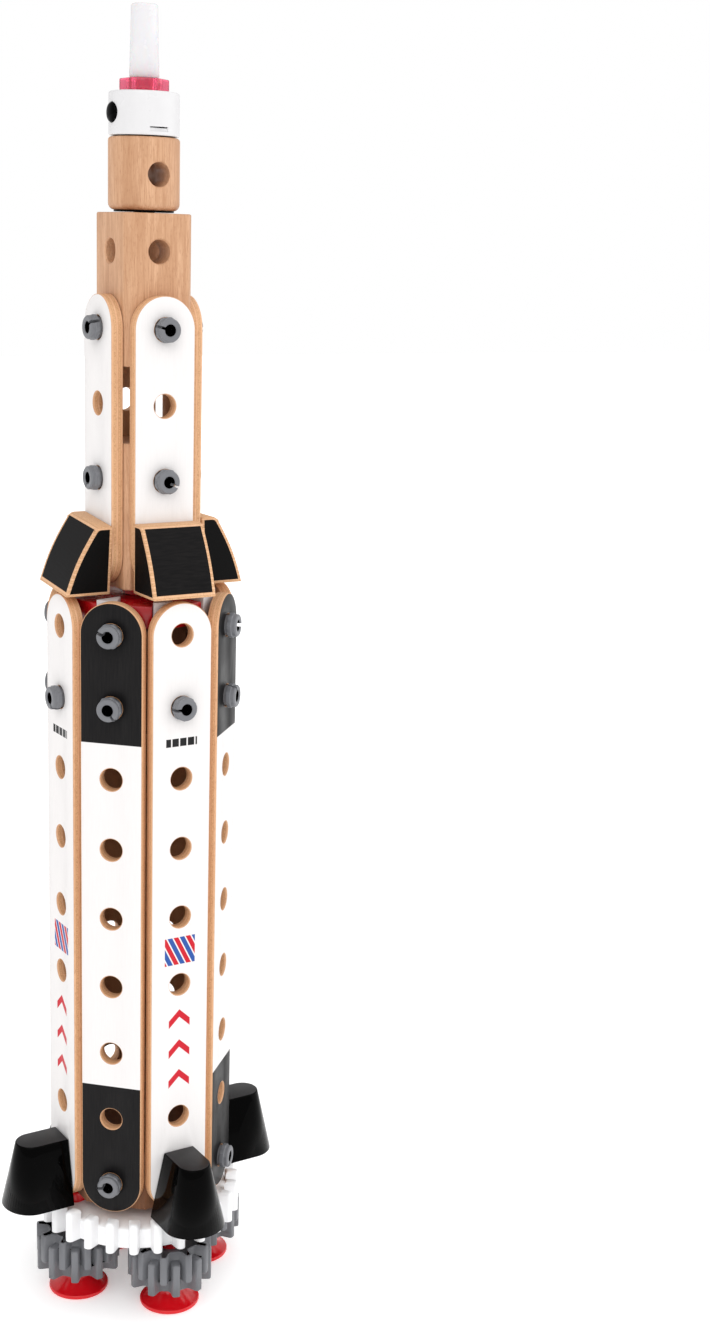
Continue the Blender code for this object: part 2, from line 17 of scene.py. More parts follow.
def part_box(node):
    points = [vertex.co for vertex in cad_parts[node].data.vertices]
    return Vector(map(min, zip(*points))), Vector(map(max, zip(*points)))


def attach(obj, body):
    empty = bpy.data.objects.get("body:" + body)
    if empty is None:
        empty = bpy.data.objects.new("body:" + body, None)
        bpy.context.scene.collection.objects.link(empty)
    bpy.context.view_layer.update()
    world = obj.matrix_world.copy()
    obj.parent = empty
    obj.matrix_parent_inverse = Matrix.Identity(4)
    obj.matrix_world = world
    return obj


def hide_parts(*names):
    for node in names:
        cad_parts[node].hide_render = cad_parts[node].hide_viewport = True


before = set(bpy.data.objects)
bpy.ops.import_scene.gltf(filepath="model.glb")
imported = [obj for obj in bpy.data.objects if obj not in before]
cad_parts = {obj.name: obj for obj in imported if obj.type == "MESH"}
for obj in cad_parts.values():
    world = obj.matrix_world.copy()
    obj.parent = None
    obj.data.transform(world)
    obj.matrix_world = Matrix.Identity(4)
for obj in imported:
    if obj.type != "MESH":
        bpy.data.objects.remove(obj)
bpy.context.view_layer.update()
MM = 0.001

# %% [markdown]
# ## Measures that the pieces share
# A construction set lives by one number, the distance between two holes. Reading the other
# measures from the frame keeps the finished pieces exactly where the solids are.

# %% Shared measures
PITCH = 30 * MM
HOLE_RADIUS = 4.75 * MM
FACES = {"front": -90, "right": 0, "back": 90, "left": 180}
CORNERS = {"front_right": -45, "back_right": 45, "back_left": 135, "front_left": -135}
LOWEST_HOLES = 61 * MM


def level(steps):
    """Height of a hole that lies some pitches above the lowest strip holes."""
    return LOWEST_HOLES + steps * PITCH


def middle_of(node):
    """The middle of a frame node's box."""
    low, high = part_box(node)
    return (low + high) / 2


LONG_INNER = -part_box("long_strip_front")[1].y
LONG_OUTER = -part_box("long_strip_front")[0].y
SHORT_INNER = -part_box("short_strip_front")[1].y
SHORT_OUTER = -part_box("short_strip_front")[0].y
STRIP_THICKNESS = LONG_OUTER - LONG_INNER
STRIP_HALF_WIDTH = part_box("long_strip_front")[1].x
print(f"long strips from {LONG_INNER / MM:.2f} to {LONG_OUTER / MM:.2f} mm out, "
      f"{2 * STRIP_HALF_WIDTH / MM:.1f} mm wide")

# %% [markdown]
# ## Camera
# The rocket is looked at from its front left and from a little above its middle, with a camera
# that leans by under two degrees. A matrix built from the viewing direction places it exactly,
# where three Euler angles would be harder to read.

# %% Camera
SENSOR_HEIGHT = 24.0
camera_data = bpy.data.cameras.new("camera")
camera_data.sensor_fit = "VERTICAL"
camera_data.sensor_height = SENSOR_HEIGHT
camera_data.lens = 33.2
camera = bpy.data.objects.new("camera", camera_data)
bpy.context.scene.collection.objects.link(camera)
YAW, PITCH_DOWN, LEAN = 0.5663, 0.2247, 0.0302
looking = Vector((sin(YAW) * cos(PITCH_DOWN), cos(YAW) * cos(PITCH_DOWN), -sin(PITCH_DOWN)))
right = Vector((cos(YAW), -sin(YAW), 0))
up = right.cross(looking)
leaned_right = right * cos(LEAN) + up * sin(LEAN)
leaned_up = up * cos(LEAN) - right * sin(LEAN)
camera.matrix_world = Matrix((
    (leaned_right.x, leaned_up.x, -looking.x, -0.3293),
    (leaned_right.y, leaned_up.y, -looking.y, -0.6850),
    (leaned_right.z, leaned_up.z, -looking.z, 0.4562),
    (0, 0, 0, 1)))
bpy.context.scene.camera = camera
print("camera at", [round(v, 3) for v in camera.matrix_world.translation])

# %% [markdown]
# ## Floor and studio light
# A toy like this is shown on white with soft light from all round, so that black and white
# parts both keep their form. A bright world does most of the work. Two suns with very wide
# discs add direction: the key from the front left and the fill from the right. The floor is
# a light table that glows a little, which keeps it white under the shadows.

# %% Floor
floor_form = bmesh.new()
bmesh.ops.create_grid(floor_form, x_segments=1, y_segments=1, size=6.0)
floor_mesh = bpy.data.meshes.new("floor")
floor_form.to_mesh(floor_mesh)
floor_form.free()
floor = bpy.data.objects.new("floor", floor_mesh)
bpy.context.scene.collection.objects.link(floor)
floor_paint = bpy.data.materials.new("floor_paint")
floor_paint.use_nodes = True
floor_paint.node_tree.nodes["Principled BSDF"].inputs["Base Color"].default_value = (0.96, 0.96, 0.96, 1)
floor_paint.node_tree.nodes["Principled BSDF"].inputs["Roughness"].default_value = 0.9
floor.data.materials.append(floor_paint)
glow = floor_paint.node_tree.nodes["Principled BSDF"].inputs
glow["Emission Color"].default_value = (1, 1, 1, 1)
glow["Emission Strength"].default_value = 0.26
print("floor laid")

# %% Lights
bpy.context.scene.view_settings.view_transform = "Standard"
world = bpy.data.worlds.new("studio")
bpy.context.scene.world = world
world.use_nodes = True
sky = world.node_tree.nodes["Background"]
sky.inputs["Color"].default_value = (1, 1, 1, 1)
SKY_SEEN, SKY_LIGHT = 1.0, 0.84
path = world.node_tree.nodes.new("ShaderNodeLightPath")
choice = world.node_tree.nodes.new("ShaderNodeMapRange")
choice.inputs["To Min"].default_value = SKY_LIGHT
choice.inputs["To Max"].default_value = SKY_SEEN
world.node_tree.links.new(path.outputs["Is Camera Ray"], choice.inputs["Value"])
world.node_tree.links.new(choice.outputs["Result"], sky.inputs["Strength"])


def wide_sun(name, comes_from, spread, strength):
    """A sun with a wide disc, which casts soft shadows and lights the whole floor evenly."""
    light = bpy.data.lights.new(name, "SUN")
    light.angle = radians(spread)
    light.energy = strength
    lamp = bpy.data.objects.new(name, light)
    lamp.rotation_euler = Vector(comes_from).to_track_quat("Z", "Y").to_euler()
    bpy.context.scene.collection.objects.link(lamp)


wide_sun("key", (-0.6, -0.8, 0.9), 50, 0.9)
wide_sun("fill", (1.0, -0.5, 0.7), 70, 0.8)

# %% [markdown]
# ## Mixing materials
# Each finish is a Principled shader with patterns wired into it. A small class keeps the
# wiring short: `add` makes a node, `maths` and `mix` join values, and `dress` sets a socket.

# %% A class for mixing materials
class Finish:
    """A material in the making, with short words for adding nodes to it."""

    def __init__(self, name, **values):
        self.material = bpy.data.materials.new(name)
        self.material.use_nodes = True
        self.tree = self.material.node_tree
        self.shader = self.tree.nodes["Principled BSDF"]
        for socket, value in values.items():
            self.dress(socket.replace("_", " "), value)

    def feed(self, socket, value):
        """Wire an output into a socket, or set a plain value on it."""
        if isinstance(value, bpy.types.NodeSocket):
            self.tree.links.new(value, socket)
        else:
            socket.default_value = value

    def dress(self, socket, value):
        self.feed(self.shader.inputs[socket], value)

    def add(self, kind, inputs, output=0, **settings):
        node = self.tree.nodes.new("ShaderNode" + kind)
        for name, value in settings.items():
            setattr(node, name, value)
        for socket, value in inputs.items():
            self.feed(node.inputs[socket], value)
        return node.outputs[output]

    def maths(self, operation, *values):
        return self.add("Math", dict(enumerate(values)), operation=operation)

    def fade(self, value, start, end, low=0.0, high=1.0):
        """A value that goes smoothly from low to high while another goes from start to end."""
        return self.add("MapRange", {"Value": value, "From Min": start, "From Max": end,
                                     "To Min": low, "To Max": high})

    def mix(self, share, first, second):
        """Blend two colours; the share belongs to the second."""
        return self.add("Mix", {0: share, 6: first, 7: second}, output=2, data_type="RGBA")

    def noise(self, vector, scale, detail=2.0, roughness=0.5):
        return self.add("TexNoise", {"Vector": vector, "Scale": scale, "Detail": detail,
                                     "Roughness": roughness})

    def stretch(self, vector, factors, offset=(0, 0, 0)):
        return self.add("Mapping", {"Vector": vector, "Scale": factors, "Location": offset})

    def object_place(self):
        return self.add("TexCoord", {}, output="Object")

    def own_place(self):
        """The piece's own coordinates, kept on its points before it was set in the rocket."""
        return self.add("Attribute", {}, output="Vector", attribute_name="place")

    def axes(self, vector):
        node = self.tree.nodes.new("ShaderNodeSeparateXYZ")
        self.tree.links.new(vector, node.inputs[0])
        return node.outputs

    def bump(self, height, distance, strength=1.0):
        self.dress("Normal", self.add("Bump", {"Height": height, "Distance": distance,
                                               "Strength": strength}))


def rgb(red, green, blue):
    """A colour from its red, green and blue on a scale of 255, as a linear shader colour."""
    linear = [((c / 255 + 0.055) / 1.055) ** 2.4 if c > 10 else c / 255 / 12.92
              for c in (red, green, blue)]
    return (*linear, 1.0)


print("beech in linear colour:", [round(c, 3) for c in rgb(226, 180, 136)[:3]])

# %% [markdown]
# ## Beech
# Beech is pale pinkish brown with fine straight fibres and short dark flecks along the grain.
# Noise that is stretched along the fibres gives both: a fine one for the fibres, a thresholded
# one for the flecks, and a broad one for the slow change across the growth rings.

# %% Beech
def beech_colour(mixture, place, along, light, dark):
    """Wire up beech: its colour, and a height for its bump. The factors squeeze the fibre axis."""
    fine = mixture.noise(mixture.stretch(place, along), 1800, 4)
    broad = mixture.noise(mixture.stretch(place, along), 260, 3)
    fleck = mixture.fade(mixture.noise(mixture.stretch(place, [max(a, 0.2) for a in along]), 2600, 1),
                         0.56, 0.72)
    base = mixture.mix(mixture.fade(broad, 0.35, 0.65, 0.0, 0.6), light, dark)
    with_fibres = mixture.mix(mixture.fade(fine, 0.35, 0.7, 0.0, 0.75), base, dark)
    with_flecks = mixture.mix(mixture.maths("MULTIPLY", fleck, 0.3), with_fibres, rgb(150, 98, 62))
    return with_flecks, mixture.maths("SUBTRACT", fine, mixture.maths("MULTIPLY", fleck, 0.6))


def make_beech():
    mixture = Finish("beech", Roughness=0.5, Specular_IOR_Level=0.35)
    colour, height = beech_colour(mixture, mixture.object_place(), (1, 1, 0.06),
                                  rgb(213, 169, 134), rgb(176, 128, 92))
    mixture.dress("Base Color", colour)
    mixture.bump(height, 0.12 * MM, 0.35)
    return mixture.material


BEECH = make_beech()
print("mixed", BEECH.name)

# %% [markdown]
# ## Bare plywood
# The strips and wedges are plywood, and their edges are left bare. A sine wave of the depth
# in the sheet tells one veneer from the next. Every other veneer shows its end grain, which
# is darker and speckled.

# %% Bare plywood
VENEER = 1 * MM


def make_ply(name, across):
    """Plywood seen edge on; across is the axis of the piece that runs through the veneers."""
    mixture = Finish(name, Roughness=0.6, Specular_IOR_Level=0.3)
    place = mixture.own_place()
    depth = mixture.axes(place)[across]
    wave = mixture.maths("SINE", mixture.maths("MULTIPLY", depth, pi / VENEER))
    layer = mixture.fade(wave, -0.25, 0.25)
    colour, height = beech_colour(mixture, place, (1, 0.08, 1), rgb(228, 184, 145), rgb(212, 164, 124))
    speckle = mixture.fade(mixture.noise(place, 2600, 2), 0.4, 0.7)
    end_grain = mixture.mix(speckle, rgb(218, 174, 132), rgb(186, 136, 96))
    glue = mixture.fade(mixture.maths("ABSOLUTE", wave), 0.05, 0.35, 0.45, 0.0)
    layered = mixture.mix(layer, end_grain, colour)
    mixture.dress("Base Color", mixture.mix(glue, layered, rgb(150, 98, 58)))
    mixture.bump(mixture.maths("ADD", height, layer), 0.08 * MM, 0.3)
    return mixture.material


PLY_EDGE = make_ply("ply_edge", "Z")
WEDGE_PLY = make_ply("wedge_ply", "Y")
print("mixed", PLY_EDGE.name, "and", WEDGE_PLY.name)

# %% [markdown]
# ## Lacquered faces
# The strips' faces are sprayed and printed before the holes are drilled, so the lacquer stops
# sharply at every edge. Black bands, the printed panel and the red marks are masks worked out
# from the place on the strip. The print is a generic pattern without any lettering.

# %% Plain white lacquer
LACQUER_WHITE = rgb(229, 226, 225)
LACQUER_BLACK = rgb(8, 7, 9)


def lacquer(name, paint):
    """Satin lacquer on sanded ply: a trace of the grain shows in its surface."""
    mixture = Finish(name, Specular_IOR_Level=0.15)
    place = mixture.own_place()
    grain = mixture.noise(mixture.stretch(place, (1, 0.05, 1)), 1800, 3)
    cloud = mixture.noise(place, 90, 2)
    mixture.dress("Roughness", mixture.fade(cloud, 0.3, 0.7, 0.36, 0.46))
    mixture.bump(grain, 0.03 * MM, 0.35)
    colour = paint(mixture, place)
    shade = mixture.fade(grain, 0.3, 0.8, 0.0, 0.04)
    mixture.dress("Base Color", mixture.mix(shade, colour, rgb(110, 102, 96)))
    return mixture.material


WHITE_FACE = lacquer("white_face", lambda mixture, place: LACQUER_WHITE)
print("mixed", WHITE_FACE.name)

# %% Black bands
BAND_START = 2.5 * PITCH
CRISP = 0.06 * MM


def paint_bands(mixture, place):
    """Black beyond two and a half pitches from the strip's middle, both ways."""
    along = mixture.maths("ABSOLUTE", mixture.axes(place)["Y"])
    return mixture.mix(mixture.fade(along, BAND_START - CRISP, BAND_START + CRISP),
                       LACQUER_WHITE, LACQUER_BLACK)


BANDED_FACE = lacquer("banded_face", paint_bands)
print("mixed", BANDED_FACE.name)

# %% Printed face
PRINT_BLACK = rgb(28, 28, 30)
PRINT_RED = rgb(196, 30, 46)
PRINT_BLUE = rgb(46, 84, 158)


def inside(mixture, value, low, high):
    """1 where a value lies between two limits, with a crisp edge."""
    rise = mixture.fade(value, low - CRISP, low + CRISP)
    fall = mixture.fade(value, high - CRISP, high + CRISP, 1.0, 0.0)
    return mixture.maths("MULTIPLY", rise, fall)


def paint_print(mixture, place):
    """A row of dashes, a panel of slanting bars and three chevrons, all generic."""
    x, y, _ = mixture.axes(place)
    dash = mixture.maths("PINGPONG", mixture.maths("ADD", x, 50 * MM), 1.75 * MM)
    dashes = mixture.maths("MULTIPLY", inside(mixture, x, -7 * MM, 7 * MM),
                           mixture.maths("MULTIPLY", inside(mixture, y, 73.8 * MM, 77.2 * MM),
                                         mixture.fade(dash, 0.25 * MM, 0.32 * MM)))
    panel = mixture.maths("MULTIPLY", inside(mixture, x, -7 * MM, 7 * MM),
                          inside(mixture, y, -20.9 * MM, -8.8 * MM))
    slant = mixture.maths("MODULO", mixture.maths("ADD", mixture.maths("ADD", x, mixture.maths(
        "MULTIPLY", y, 0.5)), 100 * MM), 5.6 * MM)
    blue = mixture.maths("MULTIPLY", panel, inside(mixture, slant, 0.2 * MM, 2.4 * MM))
    red = mixture.maths("MULTIPLY", panel, inside(mixture, slant, 3.0 * MM, 5.2 * MM))
    slope = mixture.maths("MULTIPLY", mixture.maths("ABSOLUTE", x), 0.95)
    fall = mixture.maths("ADD", mixture.maths("ADD", y, slope), 100 * MM)
    stroke = inside(mixture, mixture.maths("MODULO", fall, 13.6 * MM), 1.0 * MM, 4.4 * MM)
    marks = mixture.maths("MULTIPLY", stroke, mixture.maths(
        "MULTIPLY", inside(mixture, x, -4.9 * MM, 4.9 * MM), inside(mixture, fall, 20.5 * MM, 60.5 * MM)))
    colour = mixture.mix(dashes, LACQUER_WHITE, PRINT_BLACK)
    colour = mixture.mix(blue, colour, PRINT_BLUE)
    colour = mixture.mix(red, colour, PRINT_RED)
    return mixture.mix(marks, colour, PRINT_RED)


PRINTED_FACE = lacquer("printed_face", paint_print)
print("mixed", PRINTED_FACE.name)

# %% Black lacquer on the wedges
def make_wedge_black(name, deep, worn):
    """Thin satin black over wood, with the fibres showing through."""
    mixture = Finish(name, Specular_IOR_Level=0.1)
    place = mixture.own_place()
    fibre = mixture.noise(mixture.stretch(place, (0.12, 1, 1)), 1500, 4)
    mixture.dress("Base Color", mixture.mix(mixture.fade(fibre, 0.35, 0.7), deep, worn))
    mixture.dress("Roughness", mixture.fade(fibre, 0.3, 0.7, 0.5, 0.62))
    mixture.bump(fibre, 0.1 * MM, 0.4)
    return mixture.material


WEDGE_BLACK = make_wedge_black("wedge_black", rgb(8, 7, 8), rgb(22, 20, 20))
# The cheeks' darker black is painted shade, for the sides that face away from the light.
CHEEK_BLACK_PAINTED_SHADE = make_wedge_black("cheek_black_painted_shade", rgb(2, 2, 2), rgb(8, 6, 6))
print("mixed", WEDGE_BLACK.name, "and", CHEEK_BLACK_PAINTED_SHADE.name)

# %% [markdown]
# ## Plastics
# Moulded plastic is one colour right through. What gives it away is its skin: a polish or
# a fine grain from the mould, faint flow clouds, and scuffs. Noise in the roughness and a
# little bump give each its own skin.

# %% Moulded plastics
def plastic(name, colour, low_gloss, high_gloss, texture_height, **values):
    """Moulded plastic whose roughness drifts between two values over a finely textured skin."""
    mixture = Finish(name, **values)
    place = mixture.object_place()
    cloud = mixture.noise(place, 130, 3)
    skin = mixture.noise(place, 5200, 2)
    mixture.dress("Roughness", mixture.fade(cloud, 0.3, 0.7, low_gloss, high_gloss))
    drift = mixture.fade(cloud, 0.3, 0.75, 0.0, 0.12)
    darker = tuple(c * 0.7 for c in colour[:3]) + (1.0,)
    mixture.dress("Base Color", mixture.mix(drift, colour, darker))
    mixture.bump(skin, texture_height, 0.4)
    return mixture.material


GREY_PLASTIC = plastic("grey_plastic", rgb(112, 113, 117), 0.36, 0.48, 0.05 * MM, Specular_IOR_Level=0.4)
BLACK_PLASTIC = plastic("black_plastic", rgb(2, 2, 2), 0.07, 0.12, 0.002 * MM, Specular_IOR_Level=0.035)
# The fairings' tops: satin black whose lighter grey is a painted reflection of the bright room.
SATIN_BLACK_PAINTED_REFLECTION = plastic("satin_black_painted_reflection", rgb(30, 28, 29), 0.3, 0.4, 0.004 * MM, Specular_IOR_Level=0.2)
RED_PLASTIC = plastic("red_plastic", rgb(212, 14, 26), 0.16, 0.24, 0.006 * MM,
                      Subsurface_Weight=0.1, Subsurface_Scale=0.002)
LAMP_WHITE = plastic("lamp_white", rgb(217, 216, 217), 0.25, 0.34, 0.01 * MM)
MILKY_PLASTIC = plastic("milky_plastic", rgb(220, 219, 221), 0.2, 0.3, 0.006 * MM,
                        Subsurface_Weight=0.2, Subsurface_Scale=0.002, Coat_Weight=0.1)
# The star hub's red: the red plastic darkened with painted shade, for it sits under the wedges.
RED_IN_PAINTED_SHADE = plastic("red_in_painted_shade", rgb(168, 10, 18), 0.2, 0.3, 0.006 * MM)
CLEAR_RED = plastic("clear_red", rgb(255, 100, 138), 0.03, 0.06, 0.003 * MM,
                    Transmission_Weight=0.8, IOR=1.45)
PALE_PLASTIC = plastic("pale_plastic", rgb(206, 200, 200), 0.35, 0.5, 0.02 * MM)
print("mixed nine plastics")

# %% [markdown]
# ## Setting a piece in the rocket
# A piece is made lying at the origin, with X across it, Y up it and Z pointing out. Its points
# remember that place in an attribute, which the wood and print patterns read. Then a matrix
# sets the mesh in the rocket, so that the object itself stays at the origin.

# %% Helpers that finish a piece
def facing(degrees, radius, height):
    """The matrix that sets a piece on the side of the rocket, its Z pointing outwards."""
    angle = radians(degrees)
    out = Vector((cos(angle), sin(angle), 0))
    across = Vector((-sin(angle), cos(angle), 0))
    return Matrix(((across.x, 0, out.x, out.x * radius),
                   (across.y, 0, out.y, out.y * radius),
                   (0, 1, 0, height),
                   (0, 0, 0, 1)))


def clean(form):
    """Weld points that coincide and turn all faces outwards."""
    bmesh.ops.remove_doubles(form, verts=form.verts, dist=1e-6)
    bmesh.ops.recalc_face_normals(form, faces=form.faces)


def finish_piece(name, form, finishes, body, stands_for, at=Matrix(), crease=35):
    """Make the piece's mesh, keep its own coordinates on it, set it in place and dress it."""
    mesh = bpy.data.meshes.new(name)
    form.to_mesh(mesh)
    form.free()
    own = np.empty(len(mesh.vertices) * 3, np.float32)
    mesh.vertices.foreach_get("co", own)
    mesh.attributes.new("place", "FLOAT_VECTOR", "POINT").data.foreach_set("vector", own)
    mesh.transform(at)
    mesh.shade_smooth()
    mesh.set_sharp_from_angle(angle=radians(crease))
    for finish in finishes:
        mesh.materials.append(finish)
    piece = bpy.data.objects.new(name, mesh)
    bpy.context.scene.collection.objects.link(piece)
    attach(piece, body)
    if stands_for:
        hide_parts(*stands_for)
    return piece


def square_edges(form, least=50):
    """The edges where two faces meet at more than some degrees."""
    return [edge for edge in form.edges
            if len(edge.link_faces) == 2 and edge.calc_face_angle() > radians(least)]


def soften(form, edges, width, segments=2):
    """Round some edges over."""
    bmesh.ops.bevel(form, geom=edges, offset=width, offset_type="OFFSET", segments=segments,
                    profile=0.5, affect="EDGES", material=-1, clamp_overlap=True)


print("facing the front, a piece's Z becomes", [round(v, 2) for v in facing(-90, 0, 0).col[2]])

# %% [markdown]
# ## Plywood strips
# A strip is a flat outline with round ends and a row of holes. `triangle_fill` fills an outline
# with holes in it in one step, and an extrusion gives the sheet its thickness. A circle whose
# upper half is moved up and lower half down is the quickest way to an outline with round ends.

# %% Strip sheets
def round_ended_outline(form, half_length, half_width, sides=72):
    """An outline with straight sides and round ends, from a circle pulled apart at its middle."""
    half_step = Matrix.Rotation(pi / sides, 4, "Z")
    made = bmesh.ops.create_circle(form, cap_ends=False, segments=sides,
                                   radius=half_width / cos(pi / sides), matrix=half_step)
    for point in made["verts"]:
        point.co.y += half_length if point.co.y > 0 else -half_length


def thicken(form, thickness):
    """Give a flat sheet on z = 0 its thickness upwards."""
    made = bmesh.ops.extrude_face_region(form, geom=form.faces[:])
    lifted = [g for g in made["geom"] if isinstance(g, bmesh.types.BMVert)]
    bmesh.ops.translate(form, verts=lifted, vec=(0, 0, thickness))


def strip_form(count, undrilled=None):
    """A strip of plywood with a row of drilled holes, numbered from its top."""
    form = bmesh.new()
    half = (count - 1) * PITCH / 2
    round_ended_outline(form, half, STRIP_HALF_WIDTH)
    for k in range(count):
        if k + 1 != undrilled:
            bmesh.ops.create_circle(form, cap_ends=False, segments=48, radius=HOLE_RADIUS,
                                    matrix=Matrix.Translation((0, half - k * PITCH, 0)))
    bmesh.ops.triangle_fill(form, use_beauty=True, use_dissolve=False, edges=form.edges[:], normal=(0, 0, 1))
    thicken(form, STRIP_THICKNESS)
    clean(form)
    soften(form, square_edges(form), 0.3 * MM)
    for face in form.faces:
        face.material_index = 0 if face.normal.z > 0.99 else 1
    return form


LONG_MIDDLE = middle_of("long_strip_front").z
SHORT_MIDDLE = middle_of("short_strip_front").z
for side, degrees in FACES.items():
    finish_piece(f"printed_strip_{side}", strip_form(9, undrilled=7), [PRINTED_FACE, PLY_EDGE],
                 "rocket", [f"long_strip_{side}"], facing(degrees, LONG_INNER, LONG_MIDDLE))
    finish_piece(f"white_strip_{side}", strip_form(4), [WHITE_FACE, PLY_EDGE],
                 "rocket", [f"short_strip_{side}"], facing(degrees, SHORT_INNER, SHORT_MIDDLE))
for side, degrees in CORNERS.items():
    finish_piece(f"banded_strip_{side}", strip_form(9), [BANDED_FACE, PLY_EDGE],
                 "rocket", [f"long_strip_{side}"], facing(degrees, LONG_INNER, LONG_MIDDLE))
print("made twelve strips")

# %% [markdown]
# ## Rivets
# A rivet's head is a thick plastic ring with one slot, so that it can squeeze through a hole.
# The ring's section is spun most of the way round, and the two ends are then pulled parallel
# to make the slot. The shank behind it is a plain turned pin. Children push rivets in at any
# angle, so each is turned by a random amount from one fixed seed.

# %% Rivet heads
HEAD_RADIUS, HEAD_HEIGHT, HEAD_BORE = 5.3 * MM, 4.5 * MM, 2.4 * MM
RIVET_GAP = 0.3 * MM
RING_RADIUS = 4.7 * MM
FLANGE_FROM = 4.85 * MM
FLATS = 8
TURNS = random.Random(11)


def slotted_ring(form, section, slot_half, steps=48):
    """Spin a closed section about Z, leaving a slot with parallel sides, and cut flats on its flange."""
    start = 0.2
    points = [form.verts.new((radius * cos(start), radius * sin(start), height)) for radius, height in section]
    face = form.faces.new(points)
    made = bmesh.ops.spin(form, geom=[face], cent=(0, 0, 0), axis=(0, 0, 1), angle=2 * pi - 2 * start,
                          steps=steps, use_merge=False)
    end = [g for g in made["geom_last"] if isinstance(g, bmesh.types.BMVert)]
    for ring, side in ((points, 1), (end, -1)):
        for point in ring:
            radius = Vector(point.co.xy).length
            point.co.y = side * slot_half
            point.co.x = sqrt(radius ** 2 - slot_half ** 2)
    for point in form.verts:
        radius = Vector(point.co.xy).length
        if radius > FLANGE_FROM:
            flat = cos(pi / FLATS) / cos(atan2(point.co.y, point.co.x) % (2 * pi / FLATS) - pi / FLATS)
            point.co.xy *= max(flat, 1 - (radius - RING_RADIUS) / radius)


def rivet_form():
    form = bmesh.new()
    slot_half = TURNS.uniform(0.35, 0.75) * MM
    low, high = RIVET_GAP + 0.5 * MM, RIVET_GAP + HEAD_HEIGHT
    waist = low + 2.1 * MM
    edge = 0.5 * MM
    slotted_ring(form, [
        (HEAD_BORE, low), (HEAD_RADIUS - 0.3 * MM, low), (HEAD_RADIUS, low + 0.3 * MM),
        (HEAD_RADIUS, waist - 0.25 * MM), (HEAD_RADIUS - 0.25 * MM, waist), (RING_RADIUS, waist + 0.1 * MM),
        (RING_RADIUS, high - edge), (RING_RADIUS - edge, high),
        (HEAD_BORE + 0.35 * MM, high), (HEAD_BORE, high - 0.35 * MM)], slot_half)
    shank = [(0, -5.2 * MM), (HEAD_BORE, -5.2 * MM), (HEAD_BORE, low + 0.4 * MM), (3.4 * MM, low + 0.4 * MM),
             (4.2 * MM, low), (4.2 * MM, -6 * MM), (0, -6 * MM)]
    points = [form.verts.new((radius, 0, height)) for radius, height in shank]
    edges = [form.edges.new(pair) for pair in zip(points, points[1:])]
    bmesh.ops.spin(form, geom=points + edges, cent=(0, 0, 0), axis=(0, 0, 1), angle=2 * pi, steps=32,
                   use_merge=True)
    clean(form)
    # The faces down inside the bore take black: painted shade in the grey rivet's hollow.
    for face in form.faces:
        middle = face.calc_center_median()
        face.material_index = 1 if middle.xy.length < HEAD_BORE and middle.z < high - MM else 0
    return form


def make_rivet(name, degrees, radius, height, stands_for=()):
    turn = Matrix.Rotation(TURNS.uniform(0, 2 * pi), 4, "Z")
    finish_piece(name, rivet_form(), [GREY_PLASTIC, BLACK_PLASTIC], "rocket", stands_for,
                 facing(degrees, radius, height) @ turn)


for side, degrees in FACES.items():
    for row, height in (("upper", level(12)), ("lower", level(10))):
        make_rivet(f"short_rivet_{side}_{row}", degrees, SHORT_OUTER, height, [f"rivet_short_{side}_{row}"])
for side, degrees in CORNERS.items():
    for row, height in (("upper", level(8)), ("lower", level(0))):
        make_rivet(f"long_rivet_{side}_{row}", degrees, LONG_OUTER, height, [f"rivet_long_{side}_{row}"])
for side, degrees in (FACES | CORNERS).items():
    make_rivet(f"ring_rivet_{side}", degrees, LONG_OUTER, level(7))
print("made", 16 + 8, "rivets")

# %% [markdown]
# ## Beech blocks
# The blocks are drilled across both ways, so their holes cross inside. That is a job for the
# Boolean modifier. Each drill is a turned shape with a flared collar at both faces, which
# cuts the hole and its small countersink in one go.

# %% A drill press for solid wood
COUNTERSINK = 0.55 * MM


def turned_form(profile, steps):
    """A solid of revolution about Z from (radius, height) points."""
    form = bmesh.new()
    points = [form.verts.new((radius, 0, height)) for radius, height in profile]
    edges = [form.edges.new(pair) for pair in zip(points, points[1:])]
    bmesh.ops.spin(form, geom=points + edges, cent=(0, 0, 0), axis=(0, 0, 1), angle=2 * pi, steps=steps,
                   use_merge=True)
    clean(form)
    return form


def drill_form(half_length, at):
    """A drill along Z with a flared collar where it enters and leaves, set in place."""
    flare = HOLE_RADIUS + COUNTERSINK + MM
    profile = [(0, -half_length - MM), (flare, -half_length - MM), (HOLE_RADIUS, -half_length + COUNTERSINK),
               (HOLE_RADIUS, half_length - COUNTERSINK), (flare, half_length + MM), (0, half_length + MM)]
    form = turned_form(profile, 56)
    bmesh.ops.transform(form, matrix=at, verts=form.verts)
    return form


def temporary(name, form):
    mesh = bpy.data.meshes.new(name)
    form.to_mesh(mesh)
    form.free()
    thing = bpy.data.objects.new(name, mesh)
    bpy.context.scene.collection.objects.link(thing)
    return thing


def cut_away(form, tools):
    """Cut closed shapes out of a closed shape, and hand the result back as a bmesh."""
    stock = temporary("stock", form)
    cutters = [temporary("cutter", tool) for tool in tools]
    for cutter in cutters:
        change = stock.modifiers.new("cut", "BOOLEAN")
        change.operation = "DIFFERENCE"
        change.solver = "EXACT"
        change.object = cutter
    depsgraph = bpy.context.evaluated_depsgraph_get()
    depsgraph.update()
    result = bpy.data.meshes.new_from_object(stock.evaluated_get(depsgraph))
    for thing in [stock, *cutters]:
        bpy.data.objects.remove(thing, do_unlink=True)
    made = bmesh.new()
    made.from_mesh(result)
    bpy.data.meshes.remove(result)
    clean(made)
    return made


ALONG_X = Matrix.Rotation(pi / 2, 4, "Y")
ALONG_Y = Matrix.Rotation(pi / 2, 4, "X")

